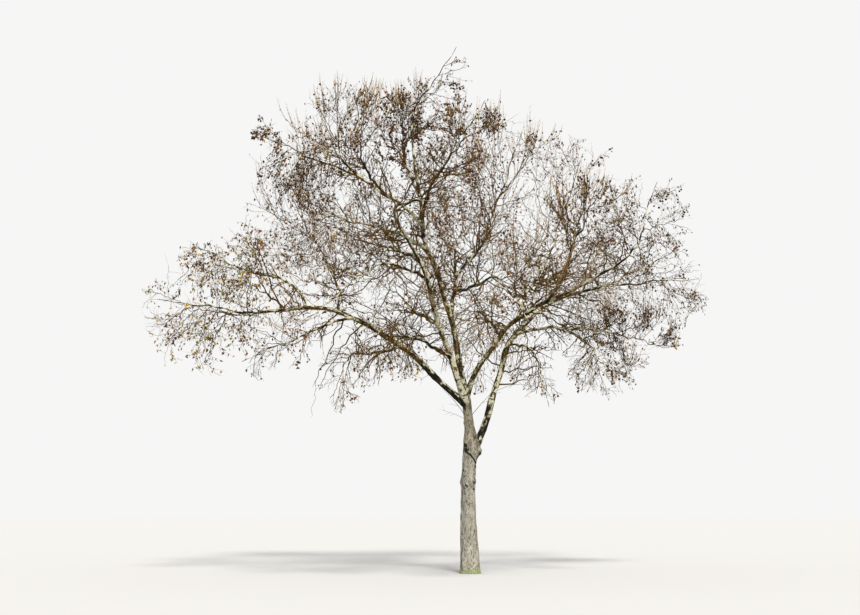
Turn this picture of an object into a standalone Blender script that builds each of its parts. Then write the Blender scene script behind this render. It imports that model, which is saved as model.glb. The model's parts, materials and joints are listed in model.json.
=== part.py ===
"""A bare winter tree about 12 m tall: one trunk, its boughs and the mass of twigs at each bough's tip.

Metres, +Z up, the origin where the trunk's axis meets the ground. +X is the tree's right, +Y its back.
Every limb is one row of sizes below and every twig follows one seeded rule: the rows change the crown.
"""

import math
from typing import NamedTuple

import bmesh
import bpy
import numpy as np

# ---- Driving dimensions -------------------------------------------------------------------------------

TRUNK_SIDES = 14
TRUNK_GIRTH = (  # height and radius, from the root flare up to the rounded end inside the fork
    (0.00, 0.250),
    (0.07, 0.232),
    (0.22, 0.217),
    (0.50, 0.206),
    (0.90, 0.193),
    (1.40, 0.174),
    (1.82, 0.163),
    (2.00, 0.169),
    (2.25, 0.158),
    (2.55, 0.164),
    (2.85, 0.152),
    (3.12, 0.130),
    (3.40, 0.106),
    (3.65, 0.110),
    (3.84, 0.112),
    (3.92, 0.080),
)
TRUNK_LEAN = (  # height and sideways offset of the axis, along X and along Y
    (0.00, 0.000, 0.00),
    (0.12, 0.000, 0.00),
    (1.20, -0.035, 0.01),
    (2.00, -0.030, 0.02),
    (2.60, 0.010, 0.02),
    (3.10, 0.015, 0.01),
    (3.92, -0.080, 0.00),
)
BURLS = (  # height, bearing and radius of the healed stubs on the trunk
    (2.64, 355.0, 0.140),
    (1.98, 165.0, 0.075),
)
BURL_SUNK = 0.25  # share of a stub's radius by which its centre lies inside the trunk's side
BURL_TURN = (0.2, 0.5, 0.1)

CLEARANCE = 0.0004  # left between two solids that meet
WOBBLE = 0.010  # how far a bough strays from its smooth line, as a share of its length
RING_SPACING = 0.31  # metres of bough for each ring of its tube
SMALL_LIMB = 0.050  # base radius under which a bough has six sides and not eight

STEM_SEGMENTS = 5
STEM_FOOT = 0.04  # straight stretch that faces the bough's tip squarely
STEM_TIP = 0.006
SHORTENINGS = 7  # tries at fitting a twig into its space, each with the twig 0.82 as long
FOOT_SHARE = 0.46  # a twig is at most this share as thick as the twig it leaves, so its foot stays inside
MIN_TWIG = 0.16  # a shorter twig is left out
SQUARENESS = 2.8  # of a mass's space: 2 is an egg, and more is fuller towards its ends
SPACE_MARGIN = 0.035  # share of a space's size kept clear on each side of its border
LIMB_CLEARANCE = 0.012  # metres kept clear between a twig and a limb of another node

TRUNK_BARK = (0.46, 0.43, 0.36)  # base colours
BOUGH_BARK = (0.34, 0.31, 0.24)
BROWN_TWIGS = (0.20, 0.15, 0.12)
GREY_TWIGS = (0.22, 0.20, 0.17)  # of the masses that hang
OCHRE_TWIGS = (0.28, 0.22, 0.11)  # of the masses that still hold yellow leaves
OCHRE_MASSES = ("left_bough", "left_arch")
GOLDEN = (math.sqrt(5) - 1) / 2


class Bough(NamedTuple):
    """One limb, and the mass of twigs that goes on from its tip."""

    name: str
    parent: str  # the limb that it leaves
    share: float  # where it leaves it, from 0 at the foot to 1 at the tip
    tip: tuple  # x, y and height of its own tip
    leaves: tuple  # bearing and elevation at which it leaves, in degrees
    arrives: tuple  # bearing and elevation at its tip
    base: float  # radius at its foot
    end: float  # radius at its tip
    far_tip: tuple  # x, y and height of the furthest twig of its mass
    spread: float  # half width of the mass
    lift: float  # how strongly its twigs turn up, or down where it is negative


BOUGHS = (
    Bough("centre_stem", "trunk", 0.957, (-1.29, 0.25, 9.91), (166, 81), (147, 85), 0.074, 0.026,
          (-0.26, 0.2, 12.1), 0.69, -0.03),
    Bough("pale_stem", "trunk", 0.947, (-1.53, -1.1, 7.52), (216, 62), (208, 54), 0.074, 0.032,
          (0.57, -2.9, 7.55), 1.61, 0.01),
    Bough("left_bough", "trunk", 0.94, (-4.07, -0.5, 5.75), (190, 38), (187, -11), 0.072, 0.038,
          (-7.0, -0.8, 5.95), 1.6, -0.06),
    Bough("inner_right", "trunk", 0.977, (3.11, -1.0, 6.61), (322, 71), (345, 27), 0.058, 0.03,
          (4.19, -0.8, 8.59), 1.35, -0.1),
    Bough("right_bough", "trunk", 0.62, (2.45, 0.6, 6.29), (0, 64), (4, 14), 0.084, 0.036,
          (5.42, 1.0, 6.72), 1.32, -0.02),
    Bough("right_centre", "centre_stem", 0.308, (-0.28, 1.5, 7.22), (83, 43), (93, 49), 0.052, 0.028,
          (0.17, 4.3, 8.68), 1.46, 0.29),
    Bough("left_arch", "left_bough", 0.907, (-4.69, 0.4, 6.7), (116, 58), (148, 10), 0.032, 0.022,
          (-6.4, 0.6, 7.45), 1.3, -0.09),
    Bough("left_low", "left_bough", 0.684, (-3.55, -1.2, 5.12), (218, -14), (222, -27), 0.03, 0.02,
          (-4.8, -1.9, 4.45), 0.65, -0.14),
    Bough("left_under", "left_bough", 0.416, (-2.39, -1.8, 4.64), (240, -16), (241, -3), 0.034, 0.022,
          (-2.69, -2.9, 3.64), 0.65, -0.12),
    Bough("left_front", "pale_stem", 0.261, (-1.35, -2.2, 4.93), (242, 8), (244, -4), 0.04, 0.024,
          (-2.14, -4.0, 4.79), 1.15, -0.19),
    Bough("left_riser", "left_bough", 0.757, (-3.18, 1.4, 6.86), (88, 32), (106, 30), 0.034, 0.024,
          (-4.62, 2.6, 9.54), 1.37, 0.12),
    Bough("left_back", "pale_stem", 0.424, (-1.26, 2.2, 6.09), (97, 19), (103, 14), 0.036, 0.026,
          (-1.63, 4.9, 6.49), 1.61, -0.07),
    Bough("mid_left_front", "pale_stem", 0.677, (-1.54, -2.2, 6.43), (252, 12), (248, 0), 0.038, 0.026,
          (-3.26, -4.7, 4.93), 1.46, 0.12),
    Bough("mid_left_back", "pale_stem", 0.792, (-2.09, 1.8, 7.67), (109, 22), (113, 14), 0.038, 0.026,
          (-4.45, 4.6, 9.21), 1.5, -0.13),
    Bough("high_left", "centre_stem", 0.561, (-1.89, -0.8, 7.52), (226, 25), (219, 5), 0.044, 0.028,
          (-3.75, -2.6, 7.61), 0.98, 0.03),
    Bough("upper_left", "centre_stem", 0.664, (-2.73, 0.2, 9.18), (177, 54), (178, 45), 0.046, 0.028,
          (-2.77, 0.3, 11.05), 1.45, 0.18),
    Bough("shoulder_left", "upper_left", 0.789, (-3.4, 1.3, 9.6), (131, 29), (134, 21), 0.028, 0.022,
          (-5.09, 1.6, 10.38), 1.15, -0.25),
    Bough("upper_mid", "upper_left", 0.524, (-2.32, -1.3, 8.85), (250, 8), (259, 13), 0.03, 0.022,
          (-2.47, -2.1, 10.16), 1.67, 0.29),
    Bough("leader_left", "centre_stem", 0.777, (-1.5, 1.2, 9.7), (111, 45), (103, 49), 0.034, 0.024,
          (-1.15, 0.9, 11.16), 1.26, 0.25),
    Bough("high_right", "centre_stem", 0.709, (-0.65, -1.0, 8.77), (286, 33), (300, 23), 0.04, 0.026,
          (0.34, -1.2, 10.34), 0.8, 0.13),
    Bough("high_right_back", "right_centre", 0.749, (0.62, 2.5, 8.37), (56, 39), (73, 52), 0.04, 0.026,
          (1.53, 3.1, 11.07), 1.61, 0.2),
    Bough("mid_right", "right_centre", 0.469, (0.32, -1.7, 6.22), (286, -5), (282, 1), 0.036, 0.026,
          (1.18, -4.7, 4.7), 1.72, 0.12),
    Bough("centre_drop", "inner_right", 0.358, (0.13, -3.0, 5.33), (256, 3), (256, 1), 0.032, 0.02,
          (0.15, -4.5, 4.0), 0.9, -0.19),
    Bough("right_riser", "inner_right", 0.479, (1.7, 1.2, 6.87), (75, 41), (65, 35), 0.044, 0.03,
          (2.88, 1.9, 9.99), 1.61, 0.06),
    Bough("right_riser_front", "inner_right", 0.644, (2.09, -1.9, 6.72), (297, 26), (279, 36), 0.036, 0.026,
          (2.79, -2.4, 8.23), 0.98, 0.27),
    Bough("right_low", "right_bough", 0.647, (2.46, -0.7, 5.06), (317, 8), (309, -38), 0.038, 0.024,
          (2.95, -1.7, 4.0), 0.68, -0.1),
    Bough("right_drop", "right_bough", 0.576, (1.29, -1.8, 4.66), (280, -2), (275, -17), 0.028, 0.018,
          (1.47, -3.3, 3.4), 0.45, -0.16),
    Bough("right_skirt", "right_low", 0.634, (3.37, 1.0, 5.44), (47, 6), (46, -1), 0.028, 0.022,
          (4.75, 1.6, 5.21), 1.75, 0.23),
    Bough("back_right", "right_bough", 0.689, (1.72, 2.6, 6.67), (77, 25), (78, 27), 0.04, 0.028,
          (4.22, 4.9, 8.22), 1.72, -0.04),
)


class TwigRule(NamedTuple):
    """How twigs of one order leave the order before."""

    count: int  # on each parent
    first: float  # where the first and the last leave it, as shares of its length
    last: float
    angle: float  # between a twig and its parent, in degrees
    length: float  # of a twig at the parent's foot, as a share of the parent's length
    shorten: float  # how much of that a twig at the parent's tip loses
    segments: int
    crook: float  # how far each segment strays from the one before
    base: float  # most radius at the foot
    end: float  # radius just before the pointed tip


SIDE_TWIGS = TwigRule(7, 0.05, 0.90, 58, 0.80, 0.52, 3, 0.22, 0.018, 0.008)
FINE_TWIGS = TwigRule(2, 0.26, 0.82, 48, 0.78, 0.40, 2, 0.24, 0.011, 0.006)


class Twigs(NamedTuple):
    """Tapering lines, a row each: their points, the radius at each point, their random key and mass."""

    points: np.ndarray
    radius: np.ndarray
    key: np.ndarray
    mass: np.ndarray


# ---- Lines and the seeded rule ------------------------------------------------------------------------


def unit(vectors):
    """The vectors scaled to length one."""
    return vectors / np.maximum(np.linalg.norm(vectors, axis=-1, keepdims=True), 1e-9)


def draw(key, salt):
    """Even random numbers from 0 to 1 that depend on nothing but the key and the salt."""
    mixed = np.atleast_1d(np.asarray(key)).astype(np.uint64) + np.uint64(salt * 0x9E3779B97F4A7C15 % 2**64)
    for shift in (30, 27, 31):
        mixed = (mixed ^ (mixed >> np.uint64(shift))) * np.uint64(0x94D049BB133111EB)
    return ((mixed >> np.uint64(11)).astype(np.float64) / 2.0**53).reshape(np.shape(key))


def heading(bearing, elevation):
    """Unit direction of a bearing (0 is right, 90 is back) and an elevation, both in degrees."""
    turn, climb = math.radians(bearing), math.radians(elevation)
    return np.array([math.cos(turn) * math.cos(climb), math.sin(turn) * math.cos(climb), math.sin(climb)])


def cubic(start, leaving, arriving, end, count):
    """Evenly stepped points of a cubic Bezier curve whose handles are two fifths of the chord."""
    handle = 0.4 * np.linalg.norm(end - start)
    t = np.linspace(0, 1, count)[:, None]
    near, far = start + handle * leaving, end - handle * arriving
    return (1 - t) ** 3 * start + 3 * t * (1 - t) ** 2 * near + 3 * t**2 * (1 - t) * far + t**3 * end


def at_share(points, share):
    """The point at a share of a line's length, and its direction there."""
    steps = np.linalg.norm(np.diff(points, axis=0), axis=1)
    done = np.concatenate([[0.0], np.cumsum(steps)]) / steps.sum()
    i = min(int(np.searchsorted(done, share, side="right")) - 1, len(steps) - 1)
    part = (share - done[i]) / (done[i + 1] - done[i])
    return points[i] + part * (points[i + 1] - points[i]), unit(points[i + 1] - points[i])


def trunk_line():
    """Points and radii of the trunk, from the flat cut at the ground to the fork."""
    heights = np.array([row[0] for row in TRUNK_GIRTH])
    lean = np.array(TRUNK_LEAN)
    offsets = [np.interp(heights, lean[:, 0], lean[:, axis]) for axis in (1, 2)]
    return np.stack([*offsets, heights], axis=1), np.array([row[1] for row in TRUNK_GIRTH])


def bough_line(number, bough, parent_points):
    """Points and radii of a bough: a smooth arc from its parent to its tip, with a seeded wobble between."""
    start, _ = at_share(parent_points, bough.share)
    end = np.array(bough.tip)
    length = np.linalg.norm(end - start)
    count = max(6, round(length / RING_SPACING))
    points = cubic(start, heading(*bough.leaves), heading(*bough.arrives), end, count + 1)
    t = np.linspace(0, 1, count + 1)
    side = unit(np.cross(end - start, [0.3, 0.2, 1.0]))
    up = unit(np.cross(side, end - start))
    for axis, salt in ((side, 1), (up, 2)):
        slow = np.sin(t * math.pi * 3 + 6.3 * draw(number, salt))
        quick = np.sin(t * math.pi * 7 + 6.3 * draw(number, salt + 2))
        points += (WOBBLE * length * (slow + 0.6 * quick) * np.sin(t * math.pi) ** 2)[:, None] * axis
    taper = bough.end + (bough.base - bough.end) * (1 - t) ** 0.8
    return points, taper


def limb_lines():
    """The name, points and radii of the trunk and of every bough."""
    lines = {"trunk": trunk_line()}
    for number, bough in enumerate(BOUGHS):
        lines[bough.name] = bough_line(number, bough, lines[bough.parent][0])
    return lines


def stems(lines):
    """The stem of every mass: it goes on from its bough's tip and bends to the mass's far tip."""
    points, radius = [], []
    for bough in BOUGHS:
        line = lines[bough.name][0]
        onward = unit(line[-1] - line[-2])
        foot, start = line[-1] + onward * CLEARANCE, line[-1] + onward * STEM_FOOT
        end = np.array(bough.far_tip)
        bend = cubic(start, onward, unit(end - start + [0, 0, bough.lift]), end, STEM_SEGMENTS + 1)
        points.append(np.vstack([foot, bend]))
        radius.append(np.append(bough.end * 0.92, np.linspace(bough.end * 0.9, STEM_TIP, STEM_SEGMENTS + 1)))
    number = np.arange(len(BOUGHS))
    return Twigs(np.array(points), np.array(radius), number + 101, number)


def in_space(points, mass):
    """Whether points lie in the rounded space about their mass's stem, deeper than in any other space."""
    foot, tip = SPACES[:, 0:3], SPACES[:, 3:6]
    axis, half = unit(tip - foot), np.linalg.norm(tip - foot, axis=1) / 2
    offset = points[..., None, :] - (foot + tip) / 2
    along = (offset * axis).sum(-1)
    across = np.sqrt(np.maximum((offset**2).sum(-1) - along**2, 0))
    shares = np.abs(along) / (half * 1.08), across / SPACES[:, 6]
    depth = (shares[0] ** SQUARENESS + shares[1] ** SQUARENESS) ** (1 / SQUARENESS)
    rows = np.broadcast_to(mass[..., None, None], (*depth.shape[:-1], 1))
    own = np.take_along_axis(depth, rows, -1)[..., 0]
    others = np.where(np.arange(len(SPACES)) == mass[..., None, None], np.inf, depth).min(-1)
    return (own < 1) & (own + SPACE_MARGIN < others)


def walk(foot, way, length, key, rule, lift):
    """Points of twigs from foot on: they turn a little at each segment by key, and lean up or down by lift."""
    points = [foot]
    for step in range(rule.segments):
        stray = np.stack([draw(key, 20 + 3 * step + axis) - 0.5 for axis in range(3)], -1)
        way = unit(way + 2 * rule.crook * stray + lift[..., None] * np.array([0, 0, 1.0]))
        points.append(points[-1] + way * (length / rule.segments)[..., None])
    return np.stack(points, axis=-2)


def grow(parents, rule, lifts, obstacles):
    """The next order of twigs, each shortened to its mass's space and left out if too short or near a limb."""
    index = np.arange(rule.count)
    key = parents.key[:, None] * 64 + index + 1
    share = rule.first + (rule.last - rule.first) * ((index * GOLDEN + draw(parents.key, 3)[:, None]) % 1.0)
    whole = parents.points.shape[1] - 1
    low = np.minimum((share * whole).astype(int), whole - 1)
    part = (share * whole - low)[..., None]
    rows = np.arange(len(parents.key))[:, None]
    before, after = parents.points[rows, low], parents.points[rows, low + 1]
    foot, along = before + part * (after - before), unit(after - before)
    thick = parents.radius[rows, low] * (1 - part[..., 0]) + parents.radius[rows, low + 1] * part[..., 0]

    turn = 2 * math.pi * (index * GOLDEN + draw(parents.key, 4)[:, None]) + 0.9 * (draw(key, 5) - 0.5)
    side = unit(np.cross(along, np.array([0.31, 0.17, 0.94])))
    around = np.cos(turn)[..., None] * side + np.sin(turn)[..., None] * np.cross(along, side)
    angle = np.radians(rule.angle + 24 * (draw(key, 6) - 0.5))
    way = np.cos(angle)[..., None] * along + np.sin(angle)[..., None] * around
    parent_length = np.linalg.norm(np.diff(parents.points, axis=1), axis=2).sum(1)[:, None]
    length = rule.length * parent_length * (1 - rule.shorten * share) * (0.75 + 0.5 * draw(key, 7))

    mass = np.repeat(parents.mass, rule.count)
    grown = (key, foot, way, length, thick)
    key, foot, way, length, thick = (a.reshape(len(mass), *a.shape[2:]) for a in grown)
    lift = lifts[mass]
    for _ in range(SHORTENINGS):
        inside = in_space(walk(foot, way, length, key, rule, lift), mass)[:, 1:]
        length = length * np.where(inside.all(1), 1.0, 0.82)
    points = walk(foot, way, length, key, rule, lift)
    keep = in_space(points, mass)[:, 1:].all(1) & (length > MIN_TWIG)
    keep &= clear_of_limbs(points, mass, obstacles)
    radius = np.linspace(np.minimum(rule.base, FOOT_SHARE * thick), rule.end, rule.segments + 1, axis=1)
    return Twigs(points[keep], radius[keep], key[keep], mass[keep])


def clear_of_limbs(points, mass, obstacles):
    """Whether twigs keep clear of every limb and other mass's stem. A twig's own foot is not tested."""
    low, high, thick, owner = obstacles
    samples = np.concatenate([points[:, 1:], (points[:, 1:] + points[:, :-1]) / 2], axis=1)[:, :, None, :]
    run = high - low
    t = np.clip(((samples - low) * run).sum(-1) / (run**2).sum(-1), 0, 1)[..., None]
    gap = np.linalg.norm(samples - low - t * run, axis=-1) - thick
    gap = np.where(owner == mass[:, None, None], np.inf, gap)
    return gap.min(axis=(1, 2)) > LIMB_CLEARANCE


def obstacle_segments(lines, stem_twigs):
    """Start, end, radius and owning mass of each straight stretch of every limb, and of every mass's stem."""
    rows = [(line[:-1], line[1:], np.maximum(r[:-1], r[1:]), -1) for line, r in lines.values()]
    rows += [(p[:-1], p[1:], r[:-1], m) for p, r, _, m in zip(*stem_twigs, strict=True)]
    low, high, thick = (np.concatenate([row[i] for row in rows]) for i in range(3))
    owner = np.concatenate([np.full(len(row[0]), row[3]) for row in rows])
    return low, high, thick, owner


# ---- Blender objects ----------------------------------------------------------------------------------


def clear_scene():
    for old in list(bpy.data.objects):
        bpy.data.objects.remove(old)


def new_collection(name):
    collection = bpy.data.collections.new(name)
    bpy.context.scene.collection.children.link(collection)
    return collection


def bark_material(name, colour, roughness):
    material = bpy.data.materials.new(name)
    material.use_nodes = True
    surface = material.node_tree.nodes["Principled BSDF"]
    surface.inputs["Base Color"].default_value = (*colour, 1)
    surface.inputs["Roughness"].default_value = roughness
    surface.inputs["Metallic"].default_value = 0
    return material


def tube(name, points, radii, collection, sides, profile=None):
    """A tapering tube along a line, with its caps welded on. A profile curve replaces the circle."""
    curve = bpy.data.curves.new(name, "CURVE")
    curve.dimensions = "3D"
    curve.use_fill_caps = True
    if profile:
        curve.bevel_mode, curve.bevel_object = "OBJECT", profile
    else:
        curve.bevel_depth, curve.bevel_resolution = 1.0, sides // 2 - 2
    spline = curve.splines.new("POLY")
    spline.points.add(len(points) - 1)
    for place, point, radius in zip(spline.points, points, radii, strict=True):
        place.co, place.radius = (*point, 1), radius
    line = bpy.data.objects.new(name + "_line", curve)
    bpy.context.scene.collection.objects.link(line)
    bpy.context.view_layer.update()
    mesh = bpy.data.meshes.new_from_object(line.evaluated_get(bpy.context.evaluated_depsgraph_get()))
    bpy.data.objects.remove(line)
    bpy.data.curves.remove(curve)
    weld(mesh)
    mesh.name = name
    made = bpy.data.objects.new(name, mesh)
    collection.objects.link(made)
    return made


def pointed(radii):
    """The radii with a twig's last ring drawn to a point."""
    return np.append(radii[:-1], 0.0)


def weld(mesh):
    """Joins a tube's loose caps to its sides, closes a pointed end and turns every face outwards."""
    shape = bmesh.new()
    shape.from_mesh(mesh)
    bmesh.ops.remove_doubles(shape, verts=shape.verts, dist=0.00001)
    bmesh.ops.recalc_face_normals(shape, faces=shape.faces)
    shape.to_mesh(mesh)
    shape.free()


def three_sided_profile(collection):
    """A triangle of unit radius, which gives each twig its three sides."""
    curve = bpy.data.curves.new("twig_profile", "CURVE")
    spline = curve.splines.new("POLY")
    spline.points.add(2)
    for place, turn in zip(spline.points, range(3), strict=True):
        angle = turn * 2 * math.pi / 3
        place.co = (math.cos(angle), math.sin(angle), 0, 1)
    spline.use_cyclic_u = True
    profile = bpy.data.objects.new("twig_profile", curve)
    profile.hide_render, profile.display_type = True, "WIRE"
    collection.objects.link(profile)
    return profile


def apply_boolean(target, others, operation, solver="EXACT"):
    """Joins a whole collection to the target, or cuts it from it, and removes the collection's objects."""
    modifier = target.modifiers.new(operation.title(), "BOOLEAN")
    modifier.operation, modifier.solver = operation, solver
    modifier.operand_type, modifier.collection = "COLLECTION", others
    bpy.context.view_layer.update()
    mesh = bpy.data.meshes.new_from_object(target.evaluated_get(bpy.context.evaluated_depsgraph_get()))
    mesh.name = target.name
    target.modifiers.clear()
    target.data = mesh
    for used in list(others.objects):
        bpy.data.objects.remove(used)


def drop_scraps(target):
    """Keeps the largest of the bodies that a cut left."""
    shape = bmesh.new()
    shape.from_mesh(target.data)
    left, bodies = set(shape.verts), []
    while left:
        body, edge = set(), [left.pop()]
        while edge:
            vert = edge.pop()
            body.add(vert)
            near = {link.other_vert(vert) for link in vert.link_edges} & left
            left -= near
            edge.extend(near)
        bodies.append(body)
    bodies.sort(key=len)
    for scrap in bodies[:-1]:
        bmesh.ops.delete(shape, geom=list(scrap), context="VERTS")
    shape.to_mesh(target.data)
    shape.free()


def round_shaded(target, degrees=50):
    target.data.shade_smooth()
    target.data.set_sharp_from_angle(angle=math.radians(degrees))


def add_burls(line, folder, extra=0.0):
    """The trunk's healed stubs: spheres sunk into its side, larger by the extra, to join on or to cut with."""
    points, radii = line
    for height, bearing, radius in BURLS:
        centre = [np.interp(height, points[:, 2], points[:, axis]) for axis in (0, 1)]
        out = np.interp(height, points[:, 2], radii) - BURL_SUNK * radius
        shape = bmesh.new()
        bmesh.ops.create_uvsphere(shape, u_segments=8, v_segments=6, radius=radius + extra)
        burl_mesh = bpy.data.meshes.new("burl")
        shape.to_mesh(burl_mesh)
        shape.free()
        burl = bpy.data.objects.new("burl", burl_mesh)
        burl.location = (
            centre[0] + math.cos(math.radians(bearing)) * out,
            centre[1] + math.sin(math.radians(bearing)) * out,
            height,
        )
        burl.rotation_euler = BURL_TURN
        folder.objects.link(burl)


def make_trunk(line, tree, cutters, material):
    """The trunk, with its healed stubs fused on."""
    trunk = tube("trunk", *line, tree, TRUNK_SIDES)
    add_burls(line, cutters)
    apply_boolean(trunk, cutters, "UNION")
    trunk.data.materials.append(material)
    round_shaded(trunk)


def with_clearance(line):
    """A limb's line made thicker, and longer at its two ends, by the clearance."""
    points, radii = line
    points = points.copy()
    points[0] += unit(points[0] - points[1]) * CLEARANCE
    points[-1] += unit(points[-1] - points[-2]) * CLEARANCE
    return points, radii + CLEARANCE


def nearest(points, others):
    """Least distance between the points of two lines."""
    return np.linalg.norm(points[:, None] - others[None], axis=2).min()


def make_boughs(lines, tree, cutters, material):
    """Every bough, cut clear of each limb made before it that it grows out of or leans on."""
    made = ["trunk"]
    for bough in BOUGHS:
        points, radii = lines[bough.name]
        limb = tube(bough.name, points, radii, tree, SIDES[bough.name])
        for name in made:
            other_points, other_radii = lines[name]
            if nearest(points, other_points) < bough.base + other_radii.max() + RING_SPACING:
                tube(name + "_cutter", *with_clearance(lines[name]), cutters, SIDES[name])
        add_burls(lines["trunk"], cutters, CLEARANCE)
        apply_boolean(limb, cutters, "DIFFERENCE")
        drop_scraps(limb)
        limb.data.materials.append(material)
        round_shaded(limb)
        made.append(bough.name)


def make_masses(groups, tree, helpers, profile, materials):
    """One object for each mass: its stem, with all its twigs joined on."""
    for number, bough in enumerate(BOUGHS):
        rows = [(p, r) for twigs in groups for p, r, _, m in zip(*twigs, strict=True) if m == number]
        mass = tube(bough.name + "_twigs", rows[0][0], pointed(rows[0][1]), tree, 3, profile)
        for points, radii in rows[1:]:
            tube("twig", points, pointed(radii), helpers, 3, profile)
        apply_boolean(mass, helpers, "UNION")
        drop_scraps(mass)
        mass.data.materials.clear()
        mass.data.materials.append(materials[number])


SIDES = {bough.name: 8 if bough.base > SMALL_LIMB else 6 for bough in BOUGHS} | {"trunk": TRUNK_SIDES}
LINES = limb_lines()
SPACES = np.array([[*LINES[b.name][0][-1], *b.far_tip, b.spread] for b in BOUGHS])


def crown_twigs():
    """The stems of all masses, their side twigs and the fine twigs on those."""
    stem_twigs = stems(LINES)
    lifts = np.array([bough.lift for bough in BOUGHS])
    obstacles = obstacle_segments(LINES, stem_twigs)
    side = grow(stem_twigs, SIDE_TWIGS, lifts, obstacles)
    fine = grow(side, FINE_TWIGS, lifts, obstacles)
    return stem_twigs, side, fine


def main():
    clear_scene()
    tree, helpers = new_collection("bare_winter_tree"), new_collection("helpers")
    profile = three_sided_profile(bpy.context.scene.collection)
    make_trunk(LINES["trunk"], tree, helpers, bark_material("trunk_bark", TRUNK_BARK, 0.85))
    make_boughs(LINES, tree, helpers, bark_material("bough_bark", BOUGH_BARK, 0.80))
    brown = bark_material("brown_twigs", BROWN_TWIGS, 0.75)
    grey = bark_material("grey_twigs", GREY_TWIGS, 0.75)
    ochre = bark_material("ochre_twigs", OCHRE_TWIGS, 0.75)
    materials = [ochre if b.name in OCHRE_MASSES else grey if b.lift < 0 else brown for b in BOUGHS]
    make_masses(crown_twigs(), tree, helpers, profile, materials)


if __name__ == "__main__":
    main()
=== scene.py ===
"""Bark, twigs and dry leaves of a bare winter tree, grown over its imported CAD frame.

Metres, +Z up, with the origin where the trunk's axis meets the ground. +X is the tree's right and +Y its
back. Every limb is one row of sizes, the same as in the part's source, and every twig follows that source's
seeded rule, carried on to finer twigs. A limb's skin and each twig is a tube worked out as one array.
"""

import functools
import json
import math
from typing import NamedTuple

import bpy
import numpy as np
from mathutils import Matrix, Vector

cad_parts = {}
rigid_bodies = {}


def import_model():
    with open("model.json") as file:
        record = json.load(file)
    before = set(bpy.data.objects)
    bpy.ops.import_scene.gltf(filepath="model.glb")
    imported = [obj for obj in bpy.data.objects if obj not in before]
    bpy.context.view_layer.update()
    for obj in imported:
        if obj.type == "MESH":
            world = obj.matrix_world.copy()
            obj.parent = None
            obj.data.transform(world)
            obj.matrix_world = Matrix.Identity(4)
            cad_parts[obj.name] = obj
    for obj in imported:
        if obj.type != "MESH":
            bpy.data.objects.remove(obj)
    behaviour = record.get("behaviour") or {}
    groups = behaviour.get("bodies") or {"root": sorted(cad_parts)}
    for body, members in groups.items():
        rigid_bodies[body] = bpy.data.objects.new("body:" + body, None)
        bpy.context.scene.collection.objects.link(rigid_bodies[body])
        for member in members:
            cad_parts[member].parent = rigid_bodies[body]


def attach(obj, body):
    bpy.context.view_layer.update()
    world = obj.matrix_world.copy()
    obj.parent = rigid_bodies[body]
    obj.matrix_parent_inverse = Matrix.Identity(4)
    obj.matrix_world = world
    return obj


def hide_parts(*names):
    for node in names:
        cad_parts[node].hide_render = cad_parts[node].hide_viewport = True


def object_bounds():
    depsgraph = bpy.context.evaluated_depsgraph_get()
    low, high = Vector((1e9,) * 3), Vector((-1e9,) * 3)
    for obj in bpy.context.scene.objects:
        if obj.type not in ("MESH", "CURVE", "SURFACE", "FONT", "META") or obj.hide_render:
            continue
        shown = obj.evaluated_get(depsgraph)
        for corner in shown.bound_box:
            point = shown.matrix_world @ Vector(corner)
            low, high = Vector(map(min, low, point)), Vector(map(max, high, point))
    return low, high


bl_info = {
    "name": "Bare winter tree",
    "version": (1, 0, 0),
    "blender": (4, 5, 0),
    "location": "3D View > Sidebar > Tree",
    "description": "Grows the bark, twigs and dry leaves of a bare winter tree over its frame",
    "category": "Add Mesh",
}

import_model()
CAD_BOX = np.array(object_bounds())

# ---- Sizes of the tree, as in the part's source ----------------------------------------------------------

TRUNK_GIRTH = (  # height and radius
    (0.00, 0.250),
    (0.07, 0.232),
    (0.22, 0.217),
    (0.50, 0.206),
    (0.90, 0.193),
    (1.40, 0.174),
    (1.82, 0.163),
    (2.00, 0.169),
    (2.25, 0.158),
    (2.55, 0.164),
    (2.85, 0.152),
    (3.12, 0.130),
    (3.40, 0.106),
    (3.65, 0.110),
    (3.84, 0.112),
    (3.92, 0.080),
)
TRUNK_LEAN = (  # height and sideways offset of the axis, along X and along Y
    (0.00, 0.000, 0.00),
    (0.12, 0.000, 0.00),
    (1.20, -0.035, 0.01),
    (2.00, -0.030, 0.02),
    (2.60, 0.010, 0.02),
    (3.10, 0.015, 0.01),
    (3.92, -0.080, 0.00),
)
CLEARANCE = 0.0004
WOBBLE = 0.010  # how far a bough strays from its smooth line, as a share of its length
RING_SPACING = 0.31  # metres of bough for each point of its guiding line
LIMB_GAP = 7.3  # how far apart the straightened limbs stand in the bark's pattern
STEM_FOOT = 0.04  # straight stretch that faces the bough's tip squarely
STEM_SEGMENTS = 5
STEM_TIP = 0.006
SQUARENESS = 2.8  # of a mass's space: 2 is an egg, and more is fuller towards its ends
GOLDEN = (math.sqrt(5) - 1) / 2
ASKEW = np.array([0.31, 0.17, 0.94])  # a direction that no limb or twig follows, to set its sides by
STEM_KEYS = 101  # keys of the masses' stems, the boughs and the water shoots start at these
BOUGH_KEYS = 301
SHOOT_KEYS = 601


class Bough(NamedTuple):
    """One limb, and the mass of twigs that goes on from its tip."""

    name: str
    parent: str  # the limb that it leaves
    share: float  # where it leaves it, from 0 at the foot to 1 at the tip
    tip: tuple  # x, y and height of its own tip
    leaves: tuple  # bearing and elevation at which it leaves, in degrees
    arrives: tuple  # bearing and elevation at its tip
    base: float  # radius at its foot
    end: float  # radius at its tip
    far_tip: tuple  # x, y and height of the furthest twig of its mass
    spread: float  # half width of the mass
    lift: float  # how strongly its twigs turn up, or down where it is negative


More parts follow.
